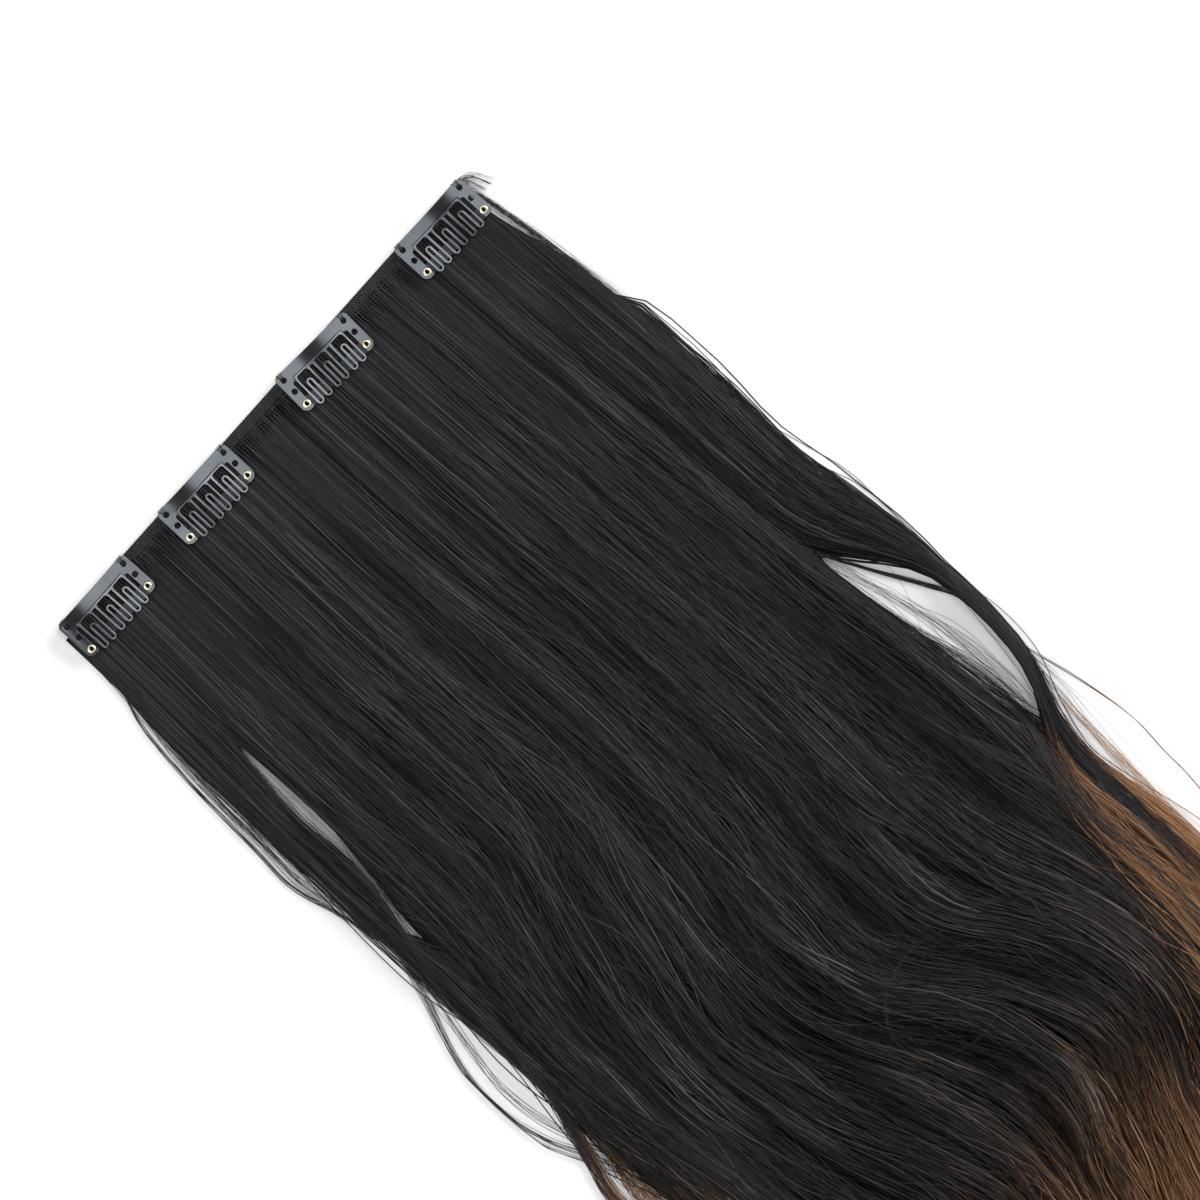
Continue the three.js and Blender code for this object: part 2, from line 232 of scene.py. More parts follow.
def lock_shape(lock, far):
    """Middle x, slope, half width and thickness of a lock, `far` mm from the track's upper edge."""
    root, wide, keeps, thick, reach_share = (LOCKS[lock, k][..., None] for k in range(5))
    middle = root * ROOT_HALF + sway(root, far)
    slope = (sway(root, far + 1) - sway(root, far - 1)) / 2
    narrow = soft_step(HAIR["taper_from"], 1, far / (HAIR["length"] * reach_share))
    grown = soft_step(HAIR["thin_until"], HAIR["full_from"], far)
    gathered = mix(1, keeps, soft_step(HAIR["gathered_from"], HAIR["gathered_by"], far))
    half = mix(HAIR["lock_half"] * wide * gathered, HAIR["tip_half"], narrow)
    deep = mix(mix(HAIR["root_thick"], HAIR["full"] * thick, grown), HAIR["tip_thick"], narrow)
    return middle, slope, half, deep


def dome(across):
    """Height of a lock's section at -1..1 across it, as a share of its thickness."""
    return (1 - np.minimum(np.abs(across), 1) ** 2.6) ** 0.6


print("widest sway", HAIR["sway"], "mm over", HAIR["length"], "mm of hair in", len(LOCKS), "locks")

# %% [markdown]
# Three things are finer than the solid's locks. Along the left side the outermost lock lies a little
# away from the rest, and the table shows through the slit. On the right the gap beside the last lock has
# a cleaner edge. And here and there the waves sink into a hollow, and the hair there is given painted
# shade as well. All three are short tables too, applied to everything that is made of hair.

# %% The partings and the hollows
SLIT = np.array(
    [  # distance down the hair, x of the parting's middle, half its width
        [55, -86.6, 0],
        [65, -87.0, 0],
        [80, -88.2, 1.8],
        [98, -89.4, 3.3],
        [112, -89.0, 2.2],
        [122, -89.8, 1.2],
        [132, -91.2, 1.0],
        [147, -95.4, 0.8],
        [168, -100, 0],
    ]
)
RIGHT_GAP = np.array(
    [
        [158, 79, 0],
        [166, 81.5, 0.6],
        [175, 85.3, 2.4],
        [199, 91.4, 7.0],
        [219, 96.2, 7.6],
        [235, 96.6, 5.2],
        [249, 95.4, 2.2],
        [266, 93, 0],
    ]
)
HOLLOWS = np.array(
    [  # x, distance, reach across, reach along, depth
        [-38, 315, 13, 26, 3.2],
        [-34, 286, 7, 20, 2.4],
        [-80, 225, 7, 30, 1.6],
        [66, 216, 12, 30, 2.4],
        [6, 250, 10, 24, 1.2],
        [34, 300, 9, 34, 1.8],
        [-8, 352, 8, 30, 2.0],
        [44, 372, 9, 26, 1.8],
        [-66, 300, 8, 34, 1.4],
        [-20, 262, 7, 26, 1.5],
        [60, 262, 7, 26, 1.4],
        [-52, 255, 8, 22, 1.4],
        [16, 322, 7, 22, 1.5],
    ]
)


LAST = len(LOCKS) - 1


def parted(x, far, lock):
    """x moved off the slit and off the gap: the first and the last lock outwards, the rest inwards."""
    for table, side in ((SLIT, np.where(lock == 0, -1, 1)), (RIGHT_GAP, np.where(lock == LAST, 1, -1))):
        middle, half = (np.interp(far, table[:, 0], table[:, k]) for k in (1, 2))
        clear = side * (x - middle)
        kept = (clear + np.sqrt(clear**2 + 0.6)) / 2
        opened = middle + side * (kept + half * np.exp(-kept / 4))
        first, last = table[0, 0], table[-1, 0]
        x = mix(x, opened, soft_step(first, first + 14, far) * (1 - soft_step(last - 18, last, far)))
    return x


def hollow(x, far):
    """How far the hair sinks here, in mm: a sum of bell shapes."""
    depth = np.zeros(np.broadcast(x, far).shape)
    for centre, down, wide, long, deep in HOLLOWS:
        depth = depth + deep * np.exp(-(((x - centre) / wide) ** 2) - ((far - down) / long) ** 2)
    return depth


def surface(x, far):
    """Height of the hair's upper side at x, `far` mm down: that of the highest lock there."""
    top = np.zeros(np.broadcast(x, far).shape)
    for lock in range(len(LOCKS)):
        middle, slope, half, deep = lock_shape(lock, far)
        top = np.maximum(top, dome((x - middle) / (half * np.sqrt(1 + slope**2))) * deep)
    return top - hollow(x, far) * soft_step(0, 4, top)


print("slit", round(2 * SLIT[:, 2].max(), 1), "mm at its widest,", len(HOLLOWS), "hollows")

# %% [markdown]
# ## The hair's finish
# Hair is dark because it absorbs what enters it, and bright only where its smooth skin reflects a lamp.
# The reflection spreads across the strands and stays narrow along them, which the Principled shader does
# with its anisotropy and a tangent that points across the strand. Each strand carries two numbers:
# "tone", how far its dye has faded from black through brown to caramel, and its shade, which scales the
# colour: its own small difference in darkness, plus painted shade where strands lie low, in hollows or
# at a lock's edge, painted light on the higher wisps, and painted highlights on some single hairs. A
# ramp turns tone into colour and shade scales it. The gloss isn't even either: a noise stretched along
# the strand roughens it in places.


# %% Node helpers
def finish(name):
    """An empty procedural material and its Principled shader."""
    material = bpy.data.materials.new(name)
    material.use_nodes = True
    nodes = material.node_tree.nodes
    return material, nodes, material.node_tree.links, nodes["Principled BSDF"]


def socket(node, name, value):
    """Sets a number on the shader's or node's own socket."""
    node.inputs[name].default_value = value


def attribute(nodes, name):
    """Reads one of the numbers that a mesh carries at each point."""
    node = nodes.new("ShaderNodeAttribute")
    node.attribute_name = name
    return node.outputs["Fac"]


def stretched_noise(nodes, links, scale, across, along, detail=3.0):
    """Noise on the UV map, `across` times finer over the piece than `along` it."""
    uv = nodes.new("ShaderNodeUVMap")
    uv.uv_map = "lay"
    mapping = nodes.new("ShaderNodeMapping")
    mapping.inputs["Scale"].default_value = (across, along, 1)
    noise = nodes.new("ShaderNodeTexNoise")
    noise.inputs["Scale"].default_value = scale
    noise.inputs["Detail"].default_value = detail
    links.new(uv.outputs["UV"], mapping.inputs["Vector"])
    links.new(mapping.outputs["Vector"], noise.inputs["Vector"])
    return noise.outputs["Fac"]


def ramp(nodes, links, source, stops):
    """A colour for each value of `source`, blended between the stops."""
    node = nodes.new("ShaderNodeValToRGB")
    points = node.color_ramp.elements
    while len(points) < len(stops):
        points.new(0.5)
    for point, (at, colour) in zip(points, stops):
        point.position, point.color = at, (*colour, 1)
    links.new(source, node.inputs["Fac"])
    return node.outputs["Color"]


def object_noise(nodes, links, scale):
    """Noise on the piece's own place, with `scale` swings or so in a metre."""
    noise = nodes.new("ShaderNodeTexNoise")
    socket(noise, "Scale", scale)
    links.new(nodes.new("ShaderNodeTexCoord").outputs["Object"], noise.inputs["Vector"])
    return noise.outputs["Fac"]


def coloured(nodes, links, shader, source, stops):
    """Base colour from a ramp over `source`."""
    links.new(ramp(nodes, links, source, stops), shader.inputs["Base Color"])


# %% Hair finish
BLACK, BROWN = (0.011, 0.0112, 0.0124), (0.036, 0.0195, 0.0115)
CARAMEL, HONEY = (0.22, 0.11, 0.052), (0.38, 0.22, 0.11)


def hair_finish(name, gloss, dark):
    """Colour: ramp(tone) x the per-point shade number x dark. The shade number holds each strand's own
    darkness with painted shade and painted highlights; dark below 1 is painted shade. Roughness: streaks
    between the two values of `gloss`.
    """
    material, nodes, links, shader = finish(name)
    colour = ramp(
        nodes, links, attribute(nodes, "tone"), [(0, BLACK), (0.3, BROWN), (0.65, CARAMEL), (1, HONEY)]
    )
    shaded = nodes.new("ShaderNodeVectorMath")
    shaded.operation = "SCALE"
    links.new(colour, shaded.inputs[0])
    deepen = nodes.new("ShaderNodeMath")
    deepen.operation = "MULTIPLY"
    deepen.inputs[1].default_value = dark
    links.new(attribute(nodes, "shade_and_highlight"), deepen.inputs[0])
    links.new(deepen.outputs[0], shaded.inputs["Scale"])
    links.new(shaded.outputs[0], shader.inputs["Base Color"])
    streak = stretched_noise(nodes, links, 1.0, 3, 40)
    rough = nodes.new("ShaderNodeMapRange")
    rough.inputs["To Min"].default_value, rough.inputs["To Max"].default_value = gloss
    links.new(streak, rough.inputs["Value"])
    links.new(rough.outputs[0], shader.inputs["Roughness"])
    tangent = nodes.new("ShaderNodeTangent")
    tangent.direction_type, tangent.uv_map = "UV_MAP", "lay"
    links.new(tangent.outputs[0], shader.inputs["Tangent"])
    socket(shader, "Anisotropic", 0.7)
    socket(shader, "IOR", 1.55)
    socket(shader, "Specular IOR Level", 0.115)
    return material


strand_finish = hair_finish("hair_strand", (0.34, 0.6), 1.0)
# Painted shade: the hair under the strands gets half of their colour.
mass_finish_painted_shade = hair_finish("hair_under", (0.5, 0.7), 0.5)
print("hair finishes:", strand_finish.name, mass_finish_painted_shade.name)

# %% [markdown]
# ## The body of the hair
# Thousands of strands need something behind them, or the table shows through. Thirteen closed locks do
# that: each is a domed section carried down its middle line, with fine furrows along it like the ones
# that a comb leaves. A lock could be sculpted by hand, but the section and the flow already say
# everything, so one array holds all thirteen.

# %% Locks under the strands
rng = np.random.default_rng(11)
MASS_ROWS, MASS_TOP, MASS_UNDER = 110, 17, 1
BODY_STARTS = 4.8  # mm below the track's upper edge
BODY_SHARE = 0.93  # of a lock's length; the strands alone go further


def section_shares():
    """Points round a lock's section: over the dome from -1 to 1, then back underneath."""
    over = -np.cos(np.linspace(0, np.pi, MASS_TOP))
    under = np.linspace(1, -1, MASS_UNDER + 2)[1:-1]
    across = np.concatenate([over, under])
    return across, np.concatenate([dome(over), np.zeros(MASS_UNDER)])


across, up = section_shares()
locks = np.arange(len(LOCKS))
end = HAIR["length"] * LOCKS[:, 4:5] * BODY_SHARE
far = BODY_STARTS + (end - BODY_STARTS) * np.linspace(0, 1, MASS_ROWS) ** 1.15
middle, slope, half, deep = lock_shape(locks, far)
length_of_side = np.sqrt(1 + slope**2)
furrow = rng.uniform(0, 2 * np.pi, (len(LOCKS), 1, 1))
wave = np.sin(across * 17 + furrow + far[..., None] * 0.02) * np.sin(across * 7 - furrow)
full_share = mix(0.86, 0.62, soft_step(130, 280, far[..., None]))
height = up * (deep[..., None] * full_share - 0.25) + 0.3 * wave * up * soft_step(30, 120, far[..., None])
pointed = 1 - 0.75 * soft_step(0.84, 1, far / end)
offset = 0.96 * across * (half * pointed)[..., None]
mass_x = middle[..., None] + offset / length_of_side[..., None]
mass_y = TRACK["width"] / 2 - far[..., None] + offset * (slope / length_of_side)[..., None]
mass_x = parted(mass_x, TRACK["width"] / 2 - mass_y, locks[:, None, None])
right_limit = 95.4 + 8 * soft_step(6, 60, far) + 40 * soft_step(60, 110, far)
mass_x = np.minimum(mass_x, right_limit[..., None])
height = height - up * hollow(mass_x, far[..., None])
mass = np.stack([mass_x, mass_y, np.maximum(height, 0.04 + 0.4 * up)], -1)
cols = len(across)
sides = grid_faces(MASS_ROWS, cols, len(LOCKS), around=True)
ends = mass[:, [0, -1]].mean(2).reshape(-1, 3)
first_end = mass[..., 0].size
ring = np.arange(cols)
caps = []
for lock in range(len(LOCKS)):
    start, stop = lock * MASS_ROWS * cols, ((lock + 1) * MASS_ROWS - 1) * cols
    hub = np.full(cols, first_end + 2 * lock)
    caps.append(np.stack([hub, start + (ring + 1) % cols, start + ring], -1))
    caps.append(np.stack([hub + 1, stop + ring, stop + (ring + 1) % cols], -1))


FADE = np.array(
    [  # root of the strand, where its dye begins to fade, how long it takes
        [-1, 255, 70],
        [-0.93, 262, 75],
        [-0.8, 328, 85],
        [0, 318, 90],
        [0.5, 330, 80],
        [0.58, 338, 60],
        [0.66, 320, 45],
        [0.7, 298, 38],
        [0.755, 260, 34],
        [1, 250, 34],
    ]
)


def tone_of(root, far, scatter):
    """How far the dye has faded: from 0 to 0.62 over the table's length, and slowly on to 1 below."""
    start = np.interp(root, FADE[:, 0], FADE[:, 1]) + scatter
    takes = np.interp(root, FADE[:, 0], FADE[:, 2])
    return soft_step(start, start + takes, far) * 0.62 + 0.38 * soft_step(start + takes, start + 190, far)


mass_root = LOCKS[:, :1, None] + across * LOCKS[:, 1:2, None] * HAIR["lock_half"] / ROOT_HALF
mass_tone = tone_of(mass_root, far[..., None], 14)
body_points = np.concatenate([mass.reshape(-1, 3), ends])
body_uv = np.stack(np.broadcast_arrays((across + 1) * 12, far[..., None] * 0.1), -1).reshape(-1, 2)
hair_body = mesh_piece(
    "hair_body",
    body_points,
    sides[:, ::-1],
    uv=np.concatenate([body_uv, np.zeros((len(ends), 2))]),
    tris=np.concatenate(caps)[:, ::-1],
    numbers={
        "tone": np.concatenate([mass_tone.ravel(), np.repeat([0, 1], len(LOCKS)).reshape(2, -1).T.ravel()]),
        "shade_and_highlight": np.concatenate([mix(1, 1.8, mass_tone).ravel(), np.ones(len(ends))]),
    },
)
hair_body.data.materials.append(mass_finish_painted_shade)
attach(hair_body, "weft")
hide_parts("hair")
print("hair body", len(hair_body.data.polygons), "faces")

# %% [markdown]
# Where the waves fan out, the locks part, and hair that hangs straighter shows between them. One thin
# closed sheet under the locks stands for it: it follows the same flow at every root between the left
# edge and the last lock before the open gap on the right.

# %% The layer under the locks
UNDER_COLS, UNDER_ROWS, UNDER_THICK = 60, 90, 1.2
root = np.linspace(-0.98, 0.8, UNDER_COLS)[None]
far = np.linspace(6, 440, UNDER_ROWS)[:, None]
ragged = 0.5 + 0.3 * np.sin(root * 23) + 0.2 * np.sin(root * 61)
far = far - soft_step(330, 440, far) * 46 * ragged
crown = np.sin(np.linspace(0, np.pi, UNDER_COLS))[None] ** 0.3
level = crown * UNDER_THICK * (1 - soft_step(380, 470, far))
sheet_x = root * ROOT_HALF * mix(1, 0.93, soft_step(300, 455, far)) + 0.92 * sway(root, far)
sheet_x = parted(sheet_x, far, 1)  # as the locks between the outermost two
sheet_y = TRACK["width"] / 2 - far
upper_side = np.stack([sheet_x, sheet_y, 0.08 + level], -1)
lower_side = np.stack([sheet_x, sheet_y, 0.05 + 0 * level], -1)
wrapped = np.concatenate([upper_side, lower_side[:, ::-1]], 1)
wide = wrapped.shape[1]
seal = np.array([[k, k + 1, wide - 2 - k, wide - 1 - k] for k in range(UNDER_COLS - 1)])
under_faces = np.concatenate(
    [grid_faces(UNDER_ROWS, wide, around=True)[:, ::-1], seal, seal[:, ::-1] + (UNDER_ROWS - 1) * wide]
)
under_tone = np.concatenate([tone_of(root, far, 25)] * 2, 1)
under = mesh_piece(
    "hair_under",
    wrapped.reshape(-1, 3),
    under_faces,
    uv=np.stack(np.broadcast_arrays(wrapped[..., 0] * 2, wrapped[..., 1] * 0.1), -1).reshape(-1, 2),
    numbers={"tone": under_tone, "shade_and_highlight": mix(0.7, 2.0, under_tone)},
)
# Painted shade: the under layer takes that darker finish, and its shade number keeps it darker still where
# its hair is black.
under.data.materials.append(mass_finish_painted_shade)
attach(under, "weft")
print("under layer", len(under.data.polygons), "faces")

# %% [markdown]
# ## The strands
# What the eye reads as hair is thousands of thin lines that almost follow each other. Each strand here
# is a ribbon about a third of a millimetre wide, a small group of real hairs. Its normals lean outwards at
# both edges, so light runs over it as over a round hair, at a quarter of the faces of a tube. Strands
# belong to wisps, which wander, cross and lie over each other; the dark cracks between wisps are what
# gives combed hair its grain. Their darkness is partly painted shade, from the darkened hair below and
# the darkened lower strands.


# %% A ribbon along each path
def ribbons(paths, widths, roll, name, tone, shade_and_highlight, lean=0.8):
    """Ribbons on (strand, station, xyz) paths: the side is along the floor, turned by `roll`."""
    count, stations = paths.shape[:2]
    along = np.gradient(paths, axis=1)
    along /= np.linalg.norm(along, axis=-1, keepdims=True) + 1e-9
    flat = np.cross(along, (0, 0, 1.0))
    flat /= np.linalg.norm(flat, axis=-1, keepdims=True) + 1e-9
    over = np.cross(flat, along)
    side = flat * np.cos(roll)[..., None] + over * np.sin(roll)[..., None]
    face = over * np.cos(roll)[..., None] - flat * np.sin(roll)[..., None]
    edges = np.stack([-side, side], 2) * (widths / 2)[..., None, None]
    points = paths[:, :, None] + edges
    normals = face[:, :, None] + lean * np.stack([-side, side], 2)
    normals /= np.linalg.norm(normals, axis=-1, keepdims=True)
    run = np.cumsum(np.linalg.norm(np.diff(paths, axis=1, prepend=paths[:, :1]), axis=-1), axis=1)
    own = (np.arange(count) * 0.37)[:, None, None]
    uv = np.stack(np.broadcast_arrays(np.array([0.0, 1.0]) + own * 7, run[..., None] * 0.01), -1)
    made = mesh_piece(
        name,
        points.reshape(-1, 3),
        grid_faces(stations, 2, count),
        uv=uv.reshape(-1, 2),
        normals=normals,
        numbers={
            "tone": np.repeat(tone[..., None], 2, -1),
            "shade_and_highlight": np.repeat(np.broadcast_to(shade_and_highlight, tone.shape)[..., None], 2, -1),
        },
    )
    made.data.materials.append(strand_finish)
    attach(made, "weft")
    return made


def wander(shape, far, lengths, rng):
    """A slow random wave between -1 and 1: two sines of the distance with random lengths and phases."""
    total = np.zeros((*shape, far.shape[-1]))
    for weight in (0.65, 0.35):
        period = rng.uniform(*lengths, shape)[..., None]
        phase = rng.uniform(0, 2 * np.pi, shape)[..., None]
        total = total + weight * np.sin(far * (2 * np.pi / period) + phase)
    return total


# %% Where each strand lies
rng = np.random.default_rng(23)
STRANDS = 5400
WISPS = 9
LOW_STEPS = 21
ROOT_STATIONS = [3.3, 4.4, 5.8, 7.6, 10.5, 15]
stations = np.concatenate([ROOT_STATIONS, np.arange(22, 150, 10), np.arange(150, 300, 8.4)])
share = LOCKS[:, 1] / LOCKS[:, 1].sum()
lock = np.sort(rng.choice(len(LOCKS), STRANDS, p=share))
wisp = rng.integers(0, WISPS, STRANDS)
finish_far = HAIR["length"] * LOCKS[lock, 4] * (1 - 0.3 * rng.random(STRANDS) ** 1.8)
low_far = 300 + (finish_far[:, None] - 300) * np.linspace(0, 1, LOW_STEPS + 1)[1:]
far = np.concatenate([np.broadcast_to(stations, (STRANDS, len(stations))), low_far], 1)
middle, slope, half, deep = lock_shape(lock, far)
loose = soft_step(16, 110, far)
waved = soft_step(130, 280, far)
room = np.minimum(half / 10, 1) ** 1.6
each = (STRANDS, 1)


def shared_wave(lengths, group):
    """One slow sine for each group of strands, read off at each strand of the group."""
    period = rng.uniform(*lengths, group.max() + 1)[group][:, None]
    phase = rng.uniform(0, 2 * np.pi, group.max() + 1)[group][:, None]
    return np.sin(far * (2 * np.pi / period) + phase)


wisp_at = rng.uniform(-0.95, 0.95, (len(LOCKS), WISPS))
wisp_at[:, :2] = -0.92, 0.92
wisp_wide = rng.uniform(0.05, 0.24, (len(LOCKS), WISPS))
group = lock * WISPS + wisp
drift = 0.6 * shared_wave((60, 150), group) + 0.4 * shared_wave((150, 320), group)
layer = shared_wave((60, 150), group)
swell = shared_wave((90, 150), lock)
scatter = rng.normal(0, 1, each)
keep = mix(1, 0.55, waved * rng.uniform(0.3, 1, each))
base = wisp_at[lock, wisp][:, None] + scatter * wisp_wide[lock, wisp][:, None] * keep
aside = base * half + room * drift * (0.6 * loose + 2.0 * waved)
aside = aside + room * wander((STRANDS,), far, (90, 220), rng) * (0.8 * loose + 1.3 * waved)
aside = aside + room * wander((STRANDS,), far, (34, 80), rng) * (0.12 + 0.42 * loose)
over = rng.random(STRANDS) < 0.14  # strands that roam over the others
roam = wander((STRANDS,), far, (120, 280), rng) * rng.uniform(2, 8, each) * soft_step(50, 170, far)
aside = aside + over[:, None] * room * roam
norm = np.sqrt(1 + slope**2)
y = TRACK["width"] / 2 - far + aside * slope / norm
x = parted(middle + aside / norm, TRACK["width"] / 2 - y, lock[:, None])
print("strands", STRANDS, "with", far.shape[1], "points each, in", len(LOCKS) * WISPS, "wisps")

# %% How high each strand lies
across = aside / half
sink = rng.random(each) ** 1.4
height = dome(across * 0.97) * (deep - 0.15) * (1 - 0.14 * sink * loose)
height = height + waved * room * deep / HAIR["full"] * (0.9 * layer + 1.1 * swell)
height = height + loose * (0.25 * layer + 0.3 * wander((STRANDS,), far, (40, 90), rng)) + 0.25 * (1 - sink)
height = height - hollow(x, far) * soft_step(0, 4, height)
climb = surface(x[over], far[over]) + rng.uniform(0.1, 1.0, (over.sum(), 1))
height[over] = np.maximum(height[over], climb * loose[over])
height = np.maximum(height, 0.12)
print("highest strand", height.max().round(1), "mm")

# %% [markdown]
# ## Where the strands leave the track
# The machine that sews a weft folds the hair over its threads in small bundles, one about every
# millimetre. So over the first few millimetres the strands are drawn together to those bundles, and
# they come down over the track's lower ridge before they lie flat.

# %% Bundles at the root
BUNDLE = 1.1
bundled = (np.round(x[:, :1] / BUNDLE)) * BUNDLE + 0.16 * rng.normal(0, 1, each)
together = 1 - soft_step(4.6, 15, far)
x = mix(x, bundled, together * 0.92)
limit = TRACK["length"] / 2 - 0.3
limit = limit + 5.5 * soft_step(6, 55, far) + 40 * soft_step(60, 110, far) - 0.9 * rng.random(each)
x = np.clip(x, -limit, limit - 2.2 * (1 - soft_step(10, 80, far)))
bundle_arch = 1.88 + 0.14 * (1 - ((far - 4.6) / 1.6) ** 2)
flat_root = 1.42 + 0.32 * (1 - sink)
lift = soft_step(5.2, 9.5, far)
height = np.where(far < 22, mix(bundle_arch, np.minimum(height, flat_root), lift), height)
paths = np.stack([x, y, height], -1)

# %% Strand widths, turn and colour
t_along = np.linspace(0, 1, far.shape[1])
width = rng.uniform(0.2, 0.44, each) * (1 - soft_step(0.86, 1, t_along) * 0.8)
width = width * mix(0.6, 1, soft_step(4, 14, far))
dome_slope = (dome(across + 0.03) - dome(across - 0.03)) / 0.06 * deep / half
roll = np.arctan(-np.clip(dome_slope, -1, 1)) * 0.9
roll = roll + rng.normal(0, 0.45, each) + 0.35 * wander((STRANDS,), far, (40, 120), rng)
own_root = LOCKS[lock, :1] + base * LOCKS[lock, 1:2] * HAIR["lock_half"] / ROOT_HALF
fade_scatter = rng.normal(0, 1, each) * mix(15, 10, soft_step(0.55, 0.7, own_root))
tone = tone_of(own_root, far, fade_scatter) * rng.uniform(0.7, 1.25, each)
tone = np.maximum(tone, 0.07 * soft_step(190, 330, far))  # the black itself warms a little
# Painted highlight: these hairs get a much lighter colour to stand for the lamp that they catch.
painted_highlight_hairs = rng.random(each) < 0.18  # single hairs that catch the light
shade_and_highlight = np.where(painted_highlight_hairs, rng.uniform(2.2, 5.6, each), rng.uniform(0.25, 1.25, each))
# Painted shade: lower-lying strands and strands in a hollow are darkened.
shade_and_highlight = shade_and_highlight * mix(1, 0.35, sink * loose) * np.exp(-0.6 * hollow(x, far))
# Painted light and shade: in the waves the higher wisps and swells are lightened, the lower ones darkened.
shade_and_highlight = shade_and_highlight * (1 + waved * (0.42 * layer + 0.36 * swell))
# Painted shade: in the waves strands near a lock's edge are darkened.
shade_and_highlight = shade_and_highlight * mix(1, 0.4, waved * soft_step(0.65, 1, np.abs(across)))
shade_and_highlight = mix(shade_and_highlight, rng.uniform(0.55, 1.45, each), soft_step(0.1, 0.5, tone))
QUARTERS = ("left", "mid_left", "mid_right", "right")
for name, rows in zip(QUARTERS, np.array_split(np.arange(STRANDS), len(QUARTERS))):
    made = ribbons(
        paths[rows], width[rows], roll[rows], "hair_strands_" + name, tone[rows], shade_and_highlight[rows]
    )
    print(made.name, 2 * len(made.data.polygons), "triangles")

# %% [markdown]
# ## Loose hair
# A weft that has been worn is never tidy: single hairs and thin wisps leave the body, run beside it and
# cross it. Each row of the table is one wisp: how many hairs, how widely they spread, how high they lie
# over what is below, their width, where their dye fades, and a few points that they pass, as x and
# distance from the track. The path between the points is a Catmull-Rom curve.

